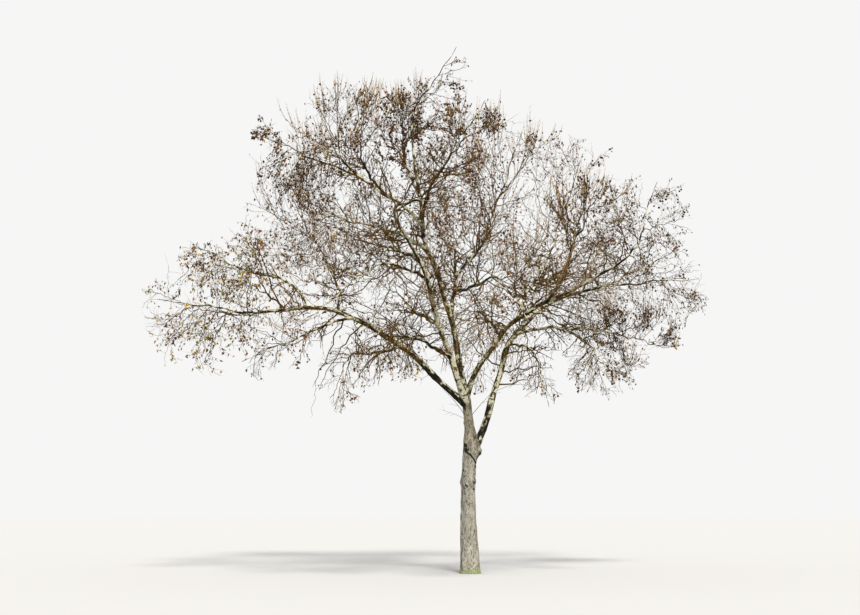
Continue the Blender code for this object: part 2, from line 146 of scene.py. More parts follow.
BOUGHS = (
    Bough("centre_stem", "trunk", 0.957, (-1.29, 0.25, 9.91), (166, 81), (147, 85), 0.074, 0.026,
          (-0.26, 0.2, 12.1), 0.69, -0.03),
    Bough("pale_stem", "trunk", 0.947, (-1.53, -1.1, 7.52), (216, 62), (208, 54), 0.074, 0.032,
          (0.57, -2.9, 7.55), 1.61, 0.01),
    Bough("left_bough", "trunk", 0.94, (-4.07, -0.5, 5.75), (190, 38), (187, -11), 0.072, 0.038,
          (-7.0, -0.8, 5.95), 1.6, -0.06),
    Bough("inner_right", "trunk", 0.977, (3.11, -1.0, 6.61), (322, 71), (345, 27), 0.058, 0.03,
          (4.19, -0.8, 8.59), 1.35, -0.1),
    Bough("right_bough", "trunk", 0.62, (2.45, 0.6, 6.29), (0, 64), (4, 14), 0.084, 0.036,
          (5.42, 1.0, 6.72), 1.32, -0.02),
    Bough("right_centre", "centre_stem", 0.308, (-0.28, 1.5, 7.22), (83, 43), (93, 49), 0.052, 0.028,
          (0.17, 4.3, 8.68), 1.46, 0.29),
    Bough("left_arch", "left_bough", 0.907, (-4.69, 0.4, 6.7), (116, 58), (148, 10), 0.032, 0.022,
          (-6.4, 0.6, 7.45), 1.3, -0.09),
    Bough("left_low", "left_bough", 0.684, (-3.55, -1.2, 5.12), (218, -14), (222, -27), 0.03, 0.02,
          (-4.8, -1.9, 4.45), 0.65, -0.14),
    Bough("left_under", "left_bough", 0.416, (-2.39, -1.8, 4.64), (240, -16), (241, -3), 0.034, 0.022,
          (-2.69, -2.9, 3.64), 0.65, -0.12),
    Bough("left_front", "pale_stem", 0.261, (-1.35, -2.2, 4.93), (242, 8), (244, -4), 0.04, 0.024,
          (-2.14, -4.0, 4.79), 1.15, -0.19),
    Bough("left_riser", "left_bough", 0.757, (-3.18, 1.4, 6.86), (88, 32), (106, 30), 0.034, 0.024,
          (-4.62, 2.6, 9.54), 1.37, 0.12),
    Bough("left_back", "pale_stem", 0.424, (-1.26, 2.2, 6.09), (97, 19), (103, 14), 0.036, 0.026,
          (-1.63, 4.9, 6.49), 1.61, -0.07),
    Bough("mid_left_front", "pale_stem", 0.677, (-1.54, -2.2, 6.43), (252, 12), (248, 0), 0.038, 0.026,
          (-3.26, -4.7, 4.93), 1.46, 0.12),
    Bough("mid_left_back", "pale_stem", 0.792, (-2.09, 1.8, 7.67), (109, 22), (113, 14), 0.038, 0.026,
          (-4.45, 4.6, 9.21), 1.5, -0.13),
    Bough("high_left", "centre_stem", 0.561, (-1.89, -0.8, 7.52), (226, 25), (219, 5), 0.044, 0.028,
          (-3.75, -2.6, 7.61), 0.98, 0.03),
    Bough("upper_left", "centre_stem", 0.664, (-2.73, 0.2, 9.18), (177, 54), (178, 45), 0.046, 0.028,
          (-2.77, 0.3, 11.05), 1.45, 0.18),
    Bough("shoulder_left", "upper_left", 0.789, (-3.4, 1.3, 9.6), (131, 29), (134, 21), 0.028, 0.022,
          (-5.09, 1.6, 10.38), 1.15, -0.25),
    Bough("upper_mid", "upper_left", 0.524, (-2.32, -1.3, 8.85), (250, 8), (259, 13), 0.03, 0.022,
          (-2.47, -2.1, 10.16), 1.67, 0.29),
    Bough("leader_left", "centre_stem", 0.777, (-1.5, 1.2, 9.7), (111, 45), (103, 49), 0.034, 0.024,
          (-1.15, 0.9, 11.16), 1.26, 0.25),
    Bough("high_right", "centre_stem", 0.709, (-0.65, -1.0, 8.77), (286, 33), (300, 23), 0.04, 0.026,
          (0.34, -1.2, 10.34), 0.8, 0.13),
    Bough("high_right_back", "right_centre", 0.749, (0.62, 2.5, 8.37), (56, 39), (73, 52), 0.04, 0.026,
          (1.53, 3.1, 11.07), 1.61, 0.2),
    Bough("mid_right", "right_centre", 0.469, (0.32, -1.7, 6.22), (286, -5), (282, 1), 0.036, 0.026,
          (1.18, -4.7, 4.7), 1.72, 0.12),
    Bough("centre_drop", "inner_right", 0.358, (0.13, -3.0, 5.33), (256, 3), (256, 1), 0.032, 0.02,
          (0.15, -4.5, 4.0), 0.9, -0.19),
    Bough("right_riser", "inner_right", 0.479, (1.7, 1.2, 6.87), (75, 41), (65, 35), 0.044, 0.03,
          (2.88, 1.9, 9.99), 1.61, 0.06),
    Bough("right_riser_front", "inner_right", 0.644, (2.09, -1.9, 6.72), (297, 26), (279, 36), 0.036, 0.026,
          (2.79, -2.4, 8.23), 0.98, 0.27),
    Bough("right_low", "right_bough", 0.647, (2.46, -0.7, 5.06), (317, 8), (309, -38), 0.038, 0.024,
          (2.95, -1.7, 4.0), 0.68, -0.1),
    Bough("right_drop", "right_bough", 0.576, (1.29, -1.8, 4.66), (280, -2), (275, -17), 0.028, 0.018,
          (1.47, -3.3, 3.4), 0.45, -0.16),
    Bough("right_skirt", "right_low", 0.634, (3.37, 1.0, 5.44), (47, 6), (46, -1), 0.028, 0.022,
          (4.75, 1.6, 5.21), 1.75, 0.23),
    Bough("back_right", "right_bough", 0.689, (1.72, 2.6, 6.67), (77, 25), (78, 27), 0.04, 0.028,
          (4.22, 4.9, 8.22), 1.72, -0.04),
)


class TwigRule(NamedTuple):
    """How twigs of one order leave the order before."""

    count: int  # on each parent
    first: float  # where the first and the last leave it, as shares of its length
    last: float
    angle: float  # between a twig and its parent, in degrees
    length: float  # of a twig at the parent's foot, as a share of the parent's length
    shorten: float  # how much of that a twig at the parent's tip loses
    segments: int
    crook: float  # how far each segment strays from the one before
    base: float  # most radius at the foot
    end: float  # radius just before the pointed tip
    parts: int  # smooth parts that each segment is cut into
    kink: float  # how far each part's end strays from the smooth line, as a share of the part's length
    rise: float = 0.0  # how much more than their mass's other twigs they turn up


BOUGH_TWIGS = TwigRule(9, 0.34, 0.98, 58, 0.40, 0.25, 4, 0.26, 0.022, 0.0055, 3, 0.30)
SIDE_TWIGS = TwigRule(12, 0.05, 0.90, 58, 0.80, 0.52, 3, 0.22, 0.027, 0.006, 4, 0.32)
BACK_TWIGS = TwigRule(6, 0.03, 0.55, 92, 0.50, 0.30, 3, 0.24, 0.015, 0.0045, 3, 0.30)
FINE_TWIGS = TwigRule(8, 0.10, 0.96, 52, 0.62, 0.40, 3, 0.26, 0.0096, 0.0034, 3, 0.42)
WHIPS = TwigRule(4, 0.50, 1.00, 26, 0.68, 0.30, 3, 0.06, 0.0130, 0.0060, 1, 0.0, 0.42)
BUDS = TwigRule(7, 0.12, 0.98, 48, 0.14, 0.20, 1, 0.10, 0.0060, 0.0, 1, 0.0)
SPRIGS = TwigRule(4, 0.12, 0.97, 52, 0.52, 0.35, 3, 0.42, 0.0050, 0.0025, 1, 0.0)
SPURS = TwigRule(2, 0.25, 0.95, 56, 0.36, 0.20, 1, 0.30, 0.0038, 0.0, 1, 0.0)
SHOOT_TWIGS = TwigRule(3, 0.35, 0.90, 40, 0.34, 0.30, 3, 0.16, 0.0045, 0.0018, 2, 0.08)
SHORTENINGS = 7
FOOT_SHARE = 0.62  # a twig is at most this share as thick as the twig it leaves
STEM_PARTS = 4
FULLNESS = {  # share of the fine twigs kept on a mass's own stem, and on the bough before it
    "centre_stem": (0.50, 1.0),
    "pale_stem": (1.0, 1.0),
    "left_bough": (1.0, 0.15),
    "inner_right": (1.0, 1.0),
    "right_bough": (0.88, 0.12),
    "right_centre": (1.0, 0.36),
    "left_arch": (1.0, 0.1),
    "left_low": (0.35, 0.15),
    "left_under": (0.35, 0.20),
    "left_front": (0.60, 1.0),
    "left_riser": (0.92, 1.0),
    "left_back": (0.45, 0.15),
    "mid_left_front": (0.84, 0.14),
    "mid_left_back": (1.0, 0.1),
    "high_left": (1.0, 0.14),
    "upper_left": (0.72, 0.1),
    "shoulder_left": (1.0, 0.12),
    "upper_mid": (0.20, 0.30),
    "leader_left": (0.95, 1.0),
    "high_right": (1.0, 0.22),
    "high_right_back": (0.47, 0.7),
    "mid_right": (1.0, 0.11),
    "centre_drop": (0.55, 0.7),
    "right_riser": (1.0, 0.12),
    "right_riser_front": (0.50, 0.15),
    "right_low": (1.0, 0.45),
    "right_drop": (0.30, 0.15),
    "right_skirt": (1.0, 0.90),
    "back_right": (1.0, 0.16),
}

WATER_SHOOTS = (  # limb, share, bearing and elevation at the foot and at the tip, length and base radius
    ("trunk", 0.840, (184, 60), (186, 42), 1.00, 0.0095),
    ("trunk", 0.850, (196, 25), (186, 14), 0.75, 0.0050),
    ("trunk", 0.860, (330, 46), (346, 42), 1.20, 0.0080),
    ("right_bough", 0.34, (352, 30), (340, -20), 1.00, 0.0065),
    ("right_bough", 0.36, (330, 55), (8, 72), 0.55, 0.0050),
    ("right_bough", 0.38, (20, 60), (30, 66), 0.60, 0.0045),
    ("left_bough", 0.22, (250, -10), (230, -30), 0.55, 0.0050),
)


EDGE = 0.08  # how far twigs may pass the box of the tree's solids
STEM_ROOM = 0.98  # how far out twigs reach in their mass's space, whose border is at 1
MORE_ROOM = 0.02  # what each order gains on the one before
FREE = 9.0  # room of the twigs that leave a bough before its mass
UNCROWDED = 0.15  # share of the twigs kept where a mass begins, rising to all of them half way along it
THINNING = 1.7  # less the depth, this is the share of the sprigs kept, so that they thin out at the border
SHRINK = 0.82  # a twig that leaves its space is shortened to this share, as often as SHORTENINGS says
SHORTEST = 0.38  # share of its own length under which it is left out
CLIMBING = 0.09  # masses that lift their twigs by more than this end in whips


class Twigs(NamedTuple):
    """Tapering lines, one row each: their points, the radius at each point, their random key and their
    mass."""

    points: np.ndarray
    radius: np.ndarray
    key: np.ndarray
    mass: np.ndarray
    room: np.ndarray  # how far out they reach in their mass's space: 1 is its border


# ---- Lines and the seeded rule ---------------------------------------------------------------------------


def unit(vectors):
    """The vectors scaled to length one."""
    return vectors / np.maximum(np.linalg.norm(vectors, axis=-1, keepdims=True), 1e-9)


def draw(key, salt):
    """Even random numbers from 0 to 1 that depend on nothing but the key and the salt."""
    mixed = np.atleast_1d(np.asarray(key)).astype(np.uint64) + np.uint64(salt * 0x9E3779B97F4A7C15 % 2**64)
    for shift in (30, 27, 31):
        mixed = (mixed ^ (mixed >> np.uint64(shift))) * np.uint64(0x94D049BB133111EB)
    return ((mixed >> np.uint64(11)).astype(np.float64) / 2.0**53).reshape(np.shape(key))


def stray(key, salt):
    """Three even random numbers from -0.5 to 0.5 for each key, as a vector."""
    return np.stack([draw(key, salt + axis) - 0.5 for axis in range(3)], -1)


def noise(points, stretch, salt):
    """Smooth random values from -1 to 1: random numbers on a lattice of unit cells, blended by smoothstep."""
    place = points * np.asarray(stretch, float)
    cell = np.floor(place).astype(np.int64)
    part = place - cell
    part = part * part * (3 - 2 * part)
    total = np.zeros(place.shape[:-1])
    for corner in np.ndindex(2, 2, 2):
        key = ((cell + corner) * [73856093, 19349663, 83492791]).sum(-1) & 0x7FFFFFFFFFFF
        total += np.prod(np.where(corner, part, 1 - part), -1) * draw(key, salt)
    return 2 * total - 1


def heading(bearing, elevation):
    """Unit direction of a bearing (0 is right, 90 is back) and an elevation, both in degrees."""
    turn, climb = math.radians(bearing), math.radians(elevation)
    return np.array([math.cos(turn) * math.cos(climb), math.sin(turn) * math.cos(climb), math.sin(climb)])


def round_angles(count):
    """Evenly stepped angles once round, in radians."""
    return np.arange(count) * 2 * math.pi / count


def cubic(start, leaving, arriving, end, count):
    """Evenly stepped points of a cubic Bezier curve whose handles are two fifths of the chord."""
    handle = 0.4 * np.linalg.norm(end - start)
    t = np.linspace(0, 1, count)[:, None]
    near, far = start + handle * leaving, end - handle * arriving
    return (1 - t) ** 3 * start + 3 * t * (1 - t) ** 2 * near + 3 * t**2 * (1 - t) * far + t**3 * end


def length_along(points):
    """How far along a line each of its points lies, in metres."""
    return np.concatenate([[0.0], np.cumsum(np.linalg.norm(np.diff(points, axis=0), axis=1))])


def at_share(points, share):
    """The point at a share of a line's length."""
    done = length_along(points)
    return np.array([np.interp(share * done[-1], done, points[:, axis]) for axis in range(3)])


def trunk_axis(heights):
    """Centre and radius of the trunk at each height: its rows joined by straight lines, rounded by a 9 cm
    bell."""
    lean, girth = np.array(TRUNK_LEAN), np.array(TRUNK_GIRTH)
    fine = np.arange(-0.40, 4.30, 0.01)
    bell = np.exp(-((np.arange(-16, 17) * 0.01 / 0.045) ** 2))
    bell /= bell.sum()
    rows = [np.interp(fine, lean[:, 0], lean[:, 1]), np.interp(fine, lean[:, 0], lean[:, 2])]
    rows.append(np.interp(fine, girth[:, 0], girth[:, 1]))
    return [np.interp(heights, fine, np.convolve(np.pad(row, 16, "edge"), bell, "valid")) for row in rows]


def trunk_line():
    """The trunk's guiding line, which the boughs leave."""
    heights = np.array([row[0] for row in TRUNK_GIRTH])
    lean = np.array(TRUNK_LEAN)
    return np.stack([*(np.interp(heights, lean[:, 0], lean[:, axis]) for axis in (1, 2)), heights], axis=1)


def bough_line(number, bough, parent_points, count=None):
    """Points and radii of a bough: a smooth arc from inside its parent to its tip, with a seeded wobble
    between."""
    start, end = at_share(parent_points, bough.share), np.array(bough.tip)
    length = np.linalg.norm(end - start)
    count = count or max(6, round(length / RING_SPACING))
    points = cubic(start, heading(*bough.leaves), heading(*bough.arrives), end, count + 1)
    t = np.linspace(0, 1, count + 1)
    side = unit(np.cross(end - start, [0.3, 0.2, 1.0]))
    up = unit(np.cross(side, end - start))
    for axis, salt in ((side, 1), (up, 2)):
        slow = np.sin(t * math.pi * 3 + 6.3 * draw(number, salt))
        quick = np.sin(t * math.pi * 7 + 6.3 * draw(number, salt + 2))
        points += (WOBBLE * length * (slow + 0.6 * quick) * np.sin(t * math.pi) ** 2)[:, None] * axis
    return points, bough.end + (bough.base - bough.end) * (1 - t) ** 0.8


def limb_lines():
    """The guiding line of the trunk and of every bough."""
    lines = {"trunk": trunk_line()}
    for number, bough in enumerate(BOUGHS):
        lines[bough.name] = bough_line(number, bough, lines[bough.parent])[0]
    return lines


def stem_lines():
    """The stem of every mass: it goes on from its bough's tip, bends to the mass's far tip and strays a
    little."""
    points, radius = [], []
    t = np.linspace(0, 1, STEM_SEGMENTS * STEM_PARTS + 1)
    for number, bough in enumerate(BOUGHS):
        line = LINES[bough.name]
        onward = unit(line[-1] - line[-2])
        foot, start = line[-1] + onward * CLEARANCE, line[-1] + onward * STEM_FOOT
        end = np.array(bough.far_tip)
        bend = cubic(start, onward, unit(end - start + [0, 0, bough.lift]), end, len(t))
        side = unit(np.cross(end - start, [0.3, 0.2, 1.0]))
        for axis, salt in ((side, 11), (np.cross(side, unit(end - start)), 12)):
            sway = np.sin(t * math.pi * 4 + 6.3 * draw(number, salt)) + 0.5 * np.sin(t * math.pi * 11 + salt)
            bend += (0.035 * sway * np.sin(t * math.pi))[:, None] * axis
        straight = foot + (start - foot) * (np.arange(STEM_PARTS) / STEM_PARTS)[:, None]
        points.append(np.vstack([straight, bend]))
        taper = bough.end * 0.95 + (STEM_TIP - bough.end * 0.95) * t**0.85
        radius.append(np.append(np.full(STEM_PARTS, bough.end * 0.97), taper))
    number = np.arange(len(BOUGHS))
    room = np.full(len(number), STEM_ROOM)
    return Twigs(np.array(points), np.array(radius), number + STEM_KEYS, number, room)


def bough_parents():
    """Every bough as a parent of twigs, with thirteen points each."""
    rows = [bough_line(number, bough, LINES[bough.parent], 12) for number, bough in enumerate(BOUGHS)]
    number = np.arange(len(BOUGHS))
    points, radius = np.array([row[0] for row in rows]), np.array([row[1] for row in rows])
    return Twigs(points, radius, number + BOUGH_KEYS, number, np.full(len(number), FREE))


def water_shoots():
    """The thin shoots low on the trunk and its boughs: cubic curves by the rows above."""
    rows, radius, mass = [], [], []
    for limb, share, leaves, arrives, length, base in WATER_SHOOTS:
        start = at_share(LINES[limb], share)
        way = unit(heading(*leaves) + heading(*arrives))
        rows.append(cubic(start, heading(*leaves), heading(*arrives), start + way * length, 10))
        radius.append(np.linspace(base, 0.002, 10))
        mass.append(NUMBERS.get(limb, 0))
    free = np.full(len(rows), FREE)
    return Twigs(np.array(rows), np.array(radius), np.arange(len(rows)) + SHOOT_KEYS, np.array(mass), free)


def depths(points):
    """How far out points lie in the rounded space about each mass's stem: 0 at its middle and 1 at its
    border."""
    foot, tip = SPACES[:, 0:3], SPACES[:, 3:6]
    axis, half = unit(tip - foot), np.linalg.norm(tip - foot, axis=1) / 2
    offset = points[..., None, :] - (foot + tip) / 2
    along = (offset * axis).sum(-1)
    across = np.sqrt(np.maximum((offset**2).sum(-1) - along**2, 0))
    sum_of_powers = (np.abs(along) / (half * 1.08)) ** SQUARENESS + (across / SPACES[:, 6]) ** SQUARENESS
    return sum_of_powers ** (1 / SQUARENESS)


def within(points, mass, room):
    """Whether lines stay in the crown: in the space of their own mass, stretched to their room, or in
    another's where they have not left their own by more than half."""
    depth, room = depths(points), room[:, None]
    own = depth[np.arange(len(points)), :, mass]
    boxed = ((points > CAD_BOX[0] - EDGE) & (points < CAD_BOX[1] + EDGE)).all(-1)
    return (boxed & ((own < room) | ((own < 1.5 * room) & (depth.min(-1) < room)))).all(1)


def crowding(points, mass):
    """How far points lie from where their mass begins, as a share of half its length."""
    foot, tip = SPACES[mass, 0:3], SPACES[mass, 3:6]
    return 2 * np.linalg.norm(points - foot, axis=1) / np.linalg.norm(tip - foot, axis=1)


def walk(foot, way, length, key, rule, lift):
    """Points of twigs from foot on: each segment adds a keyed stray and the lift to the way of the one
    before."""
    points = [foot]
    for step in range(rule.segments):
        turned = 2 * rule.crook * stray(key, 20 + 3 * step)
        way = unit(way + turned + lift[..., None] * np.array([0, 0, 1.0]))
        points.append(points[-1] + way * (length / rule.segments)[..., None])
    return np.stack(points, axis=-2)


def kinked(points, key, share):
    """Lines whose inner points are moved at random by a share of the distance between points."""
    inner = np.arange(1, points.shape[1] - 1)
    step = np.linalg.norm(points[:, 2:] - points[:, :-2], axis=-1, keepdims=True)
    moved = points[:, 1:-1] + share * step * stray(key[:, None] * 16 + inner, 80)
    return np.concatenate([points[:, :1], moved, points[:, -1:]], axis=1)


def rounded(points, parts):
    """Lines made smooth: a Catmull-Rom curve through each line's points, every segment cut into equal
    parts."""
    ends = 2 * points[:, :1] - points[:, 1:2], 2 * points[:, -1:] - points[:, -2:-1]
    rows = np.concatenate([ends[0], points, ends[1]], axis=1)
    a, b, c, d = (rows[:, i : i + points.shape[1] - 1, None, :] for i in range(4))
    t = (np.arange(parts) / parts)[:, None]
    bend = b + 0.5 * ((c - a) * t + (2 * a - 5 * b + 4 * c - d) * t**2 + (3 * b - a - 3 * c + d) * t**3)
    return np.concatenate([bend.reshape(len(points), -1, 3), points[:, -1:]], axis=1)


def grow(parents, rule, least):
    """The next order of twigs. Each leaves its parent at a share of its length that steps by the golden
    ratio, turned about it by the golden angle, and is shortened to its mass's space and left out if shorter
    than least."""
    index = np.arange(rule.count)
    key = parents.key[:, None] * 64 + index + 1
    share = rule.first + (rule.last - rule.first) * ((index * GOLDEN + draw(parents.key, 3)[:, None]) % 1.0)
    whole = parents.points.shape[1] - 1
    low = np.minimum((share * whole).astype(int), whole - 1)
    part = (share * whole - low)[..., None]
    rows = np.arange(len(parents.key))[:, None]
    before, after = parents.points[rows, low], parents.points[rows, low + 1]
    foot, along = before + part * (after - before), unit(after - before)
    thick = parents.radius[rows, low] * (1 - part[..., 0]) + parents.radius[rows, low + 1] * part[..., 0]

    turn = 2 * math.pi * (index * GOLDEN + draw(parents.key, 4)[:, None]) + 0.9 * (draw(key, 5) - 0.5)
    side = unit(np.cross(along, ASKEW))
    around = np.cos(turn)[..., None] * side + np.sin(turn)[..., None] * np.cross(along, side)
    angle = np.radians(rule.angle + 24 * (draw(key, 6) - 0.5))
    way = np.cos(angle)[..., None] * along + np.sin(angle)[..., None] * around
    parent_length = np.linalg.norm(np.diff(parents.points, axis=1), axis=2).sum(1)[:, None]
    length = rule.length * parent_length * (1 - rule.shorten * share) * (0.75 + 0.5 * draw(key, 7))

    mass, room = np.repeat(parents.mass, rule.count), np.repeat(parents.room + MORE_ROOM, rule.count)
    grids = key, foot, way, length, thick
    key, foot, way, length, thick = (grid.reshape(len(mass), *grid.shape[2:]) for grid in grids)
    lift = LIFTS[mass] + rule.rise
    whole = length
    for _ in range(SHORTENINGS):
        inside = within(walk(foot, way, length, key, rule, lift)[:, 1:], mass, room)
        length = length * np.where(inside, 1.0, SHRINK)
    points = walk(foot, way, length, key, rule, lift)
    keep = within(points[:, 1:], mass, room) & (length > least) & (length > SHORTEST * whole)
    if rule is FINE_TWIGS:
        keep &= draw(key, 9) < OPENNESS[mass, (room > 2).astype(int)]
    if rule is SPRIGS:
        keep &= draw(key, 10) < THINNING - depths(foot)[np.arange(len(mass)), mass]
    if rule in (FINE_TWIGS, SPRIGS):
        keep &= draw(key, 12) < UNCROWDED + crowding(foot, mass)
    points = kinked(rounded(points[keep], rule.parts), key[keep], rule.kink)
    radius = np.linspace(np.minimum(rule.base, FOOT_SHARE * thick[keep]), rule.end, points.shape[1], axis=1)
    return Twigs(points, np.maximum(radius, rule.end), key[keep], mass[keep], room[keep])


def taken(twigs, rows):
    """Some of the twigs."""
    return Twigs(*(column[rows] for column in twigs))


def joined(*groups):
    """Several groups of twigs with as many points each, as one group."""
    return Twigs(*(np.concatenate(parts) for parts in zip(*groups, strict=True)))


NUMBERS = {bough.name: number for number, bough in enumerate(BOUGHS)}
LINES = limb_lines()
SPACES = np.array([[*LINES[b.name][-1], *b.far_tip, b.spread] for b in BOUGHS])
LIFTS = np.array([bough.lift for bough in BOUGHS])
OPENNESS = np.array([FULLNESS[bough.name] for bough in BOUGHS])


@functools.cache
def crown():
    """Every order of the crown's twigs by name, from the twigs on boughs and stems down to the spurs."""
    low, side = grow(bough_parents(), BOUGH_TWIGS, 0.12), grow(stem_lines(), SIDE_TWIGS, 0.16)
    shoots = water_shoots()
    stems = stem_lines()
    back = grow(stems._replace(key=stems.key + 7 * 64), BACK_TWIGS, 0.16)
    fine = joined(*(grow(parents, FINE_TWIGS, 0.10) for parents in (low, side, back)))
    climbing = taken(side, LIFTS[side.mass] > CLIMBING)
    whips = grow(climbing._replace(key=climbing.key + 5 * 64**3, room=climbing.room + 0.32), WHIPS, 0.25)
    sprigs = grow(fine, SPRIGS, 0.06)
    return {
        "low": low,
        "side": side,
        "back": back,
        "shoots": shoots,
        "shoot_twigs": grow(shoots, SHOOT_TWIGS, 0.05),
        "fine": fine,
        "whips": whips,
        "buds": grow(whips, BUDS, 0.02),
        "sprigs": sprigs,
        "spurs": grow(sprigs, SPURS, 0.02),
    }


# ---- Skins as arrays -------------------------------------------------------------------------------------


def tube_faces(rings, sides):
    """Triangles of a closed tube: its rings in rows, then the pole at its foot and the pole at its tip."""
    here = np.arange(sides)
    after = (here + 1) % sides
    row = np.arange(rings - 1)[:, None] * sides
    corners = row + here, row + after, row + sides + after, row + sides + here
    halves = np.stack(corners[:3], -1), np.stack([corners[0], *corners[2:]], -1)
    wall = np.stack(halves, axis=2).reshape(-1, 3)
    foot, last = np.full(sides, rings * sides), (rings - 1) * sides
    return np.concatenate(
        [wall, np.stack([after, here, foot], -1), np.stack([last + here, last + after, foot + 1], -1)]
    )


def copied(faces, count, size):
    """The triangles of many copies of a shape of that many points, whose points follow one another."""
    return (faces + np.arange(count)[:, None, None] * size).reshape(-1, 3)


def frames(points):
    """Two unit vectors square to a line at each point, the first kept nearly square to the plane that it
    bends in."""
    along = unit(np.gradient(points, axis=0))
    plane = np.linalg.svd(points - points.mean(0), full_matrices=False)[2][2]
    across = unit(plane - (along @ plane)[:, None] * along)
    return across, np.cross(along, across)


def limb_skin(number, points, radii, sides, relief):
    """A limb's skin: each ring is its centre plus its radius times the cosine and sine of the angle along
    two vectors square to the line. The radius swells by noise read on the limb as if straightened, and
    grows into a collar at the foot. Gives points, triangles and the straightened places that the bark's
    pattern follows."""
    turn = round_angles(sides)
    along = length_along(points)
    across, over = frames(points)
    ring = np.stack([np.cos(turn), np.sin(turn)], -1)
    start = along + LIMB_GAP * number
    level = np.broadcast_to(start[:, None, None], (len(along), sides, 1))
    straight = np.concatenate([ring[None] * radii[:, None, None], level], axis=-1)
    lumps = 0.10 * noise(straight, (5, 5, 4.5), 61) + 0.06 * noise(straight, (22, 22, 9), 62)
    plates = relief * (noise(straight, (30, 30, 13), 63) + 0.5 * noise(straight, (70, 70, 30), 64))
    size = radii[:, None] * (1 + lumps) + plates * np.minimum(1, radii[:, None] / 0.05)
    out = ring[:, 0, None] * across[:, None] + ring[:, 1, None] * over[:, None]
    skin = points[:, None] + size[..., None] * out
    pole = points[-1:] + (points[-1:] - points[-2:-1]) * 0.5
    every = np.concatenate([skin.reshape(-1, 3), points[:1], pole])
    places = np.concatenate([straight.reshape(-1, 3), straight[0, :1], straight[-1, :1]])
    return every, tube_faces(len(points), sides), places


def painted_shade_marks_at(points):
    """How dark the painted shade and the dark marks are at each point: the strongest of the bells about the
    rows of the table of painted shade marks."""
    rows = np.array(PAINTED_SHADE_MARKS)
    gap = np.linalg.norm(points[:, None] - rows[:, :3], axis=2)
    return (rows[:, 4] * np.exp(-((gap / rows[:, 3]) ** 2))).max(1)


def around_trunk(turn, height, bearing, level, radius):
    """How far points of the trunk's skin lie from one at a bearing and a level, along the skin."""
    arc = (turn - math.radians(bearing) + math.pi) % (2 * math.pi) - math.pi
    return np.hypot(arc * radius, height - level)


def trunk_skin(relief):
    """The trunk's skin: each ring is its centre plus its radius at that angle and height. The radius is the
    girth with broad flutes, flaked plates, a flare of roots at the foot, a bell for each knot with its rim
    and hollow, and a groove along the fold; it closes to a dome inside the fork."""
    sides, rings, dome = 120, 290, 8
    height = np.concatenate([np.linspace(0, 3.90, rings), np.full(dome, 3.90)])[:, None]
    lap = np.concatenate([np.zeros(rings), np.linspace(0, 1.45, dome + 1)[1:]])[:, None]
    turn = round_angles(sides)[None]
    x, y, girth = (row for row in trunk_axis(height))
    straight = np.stack(np.broadcast_arrays(girth * np.cos(turn), girth * np.sin(turn), height), -1)

    flutes = 0.035 * noise(straight, (4, 4, 0.9), 71) + 0.018 * noise(straight, (11, 11, 2.6), 72)
    radius = girth * (1 + flutes)
    flakes = np.tanh(3.5 * noise(straight, (17, 17, 6.5), 73))
    flakes = flakes + 0.6 * np.tanh(3 * noise(straight, (34, 34, 11), 74))
    radius = radius + relief * (0.5 * flakes + 0.35 * noise(straight, (80, 80, 28), 75))
    roots = 0.55 + 0.45 * np.sin(5 * turn + 1.2) * np.sin(2 * turn + 0.5)
    radius = radius + 0.012 * roots * np.exp(-height / 0.10) - 0.006
    # Painted shade: dark in each knot's hollow, a painted shadow line along the fold, and the listed spots in
    # the fork.
    painted_shade_marks = np.zeros_like(radius)
    for level, side, swell, reach, hollow in KNOTS:
        gap = around_trunk(turn, height, side, level, girth)
        radius = radius + swell * np.exp(-((gap / reach) ** 2))
        radius = radius + hollow * (0.5 * np.exp(-(((gap - 0.5 * reach) / (0.2 * reach)) ** 2)))
        radius = radius - hollow * np.exp(-((gap / (0.3 * reach)) ** 2))
        # Painted shade in the knot's hollow.
        painted_shade_marks = np.maximum(painted_shade_marks, min(1, hollow * 90) * np.exp(-((gap / (0.36 * reach)) ** 2)))
    bearings, levels = zip(*FOLD, strict=True)
    fold = np.interp(np.degrees(turn) % 360, bearings, levels)
    gap = np.abs(height - fold) * 0.85
    bearing = np.degrees(turn)
    held = np.clip((bearing - bearings[0]) / 12, 0, 1) * np.clip((bearings[-1] - bearing) / 12, 0, 1)
    radius = radius - 0.010 * held * np.exp(-((gap / 0.018) ** 2))
    radius = radius + 0.007 * held * np.exp(-(((gap - 0.045) / 0.025) ** 2))
    # A painted shadow line along the fold's groove.
    painted_shade_marks = np.maximum(painted_shade_marks, 1.2 * held * np.exp(-((gap / 0.024) ** 2)))

    centre = np.stack(np.broadcast_arrays(x, y, height), -1)
    out = np.stack(np.broadcast_arrays(np.cos(turn), np.sin(turn), np.zeros_like(height)), -1)
    skin = centre + (radius * np.cos(lap))[..., None] * out
    skin = skin + (np.sin(lap) * 0.05)[..., None] * np.array([0, 0, 1.0])
    top = skin[-1].mean(0) + [0, 0, 0.001]
    every = np.concatenate([skin.reshape(-1, 3), [[0, 0, 0]], [top]])
    places = np.concatenate([straight.reshape(-1, 3), [[0, 0, 0]], [top]])
    painted_shade_marks = np.concatenate([painted_shade_marks.ravel(), [0, 0]])
    return every, tube_faces(rings + dome, sides), places, np.maximum(painted_shade_marks, painted_shade_marks_at(every))


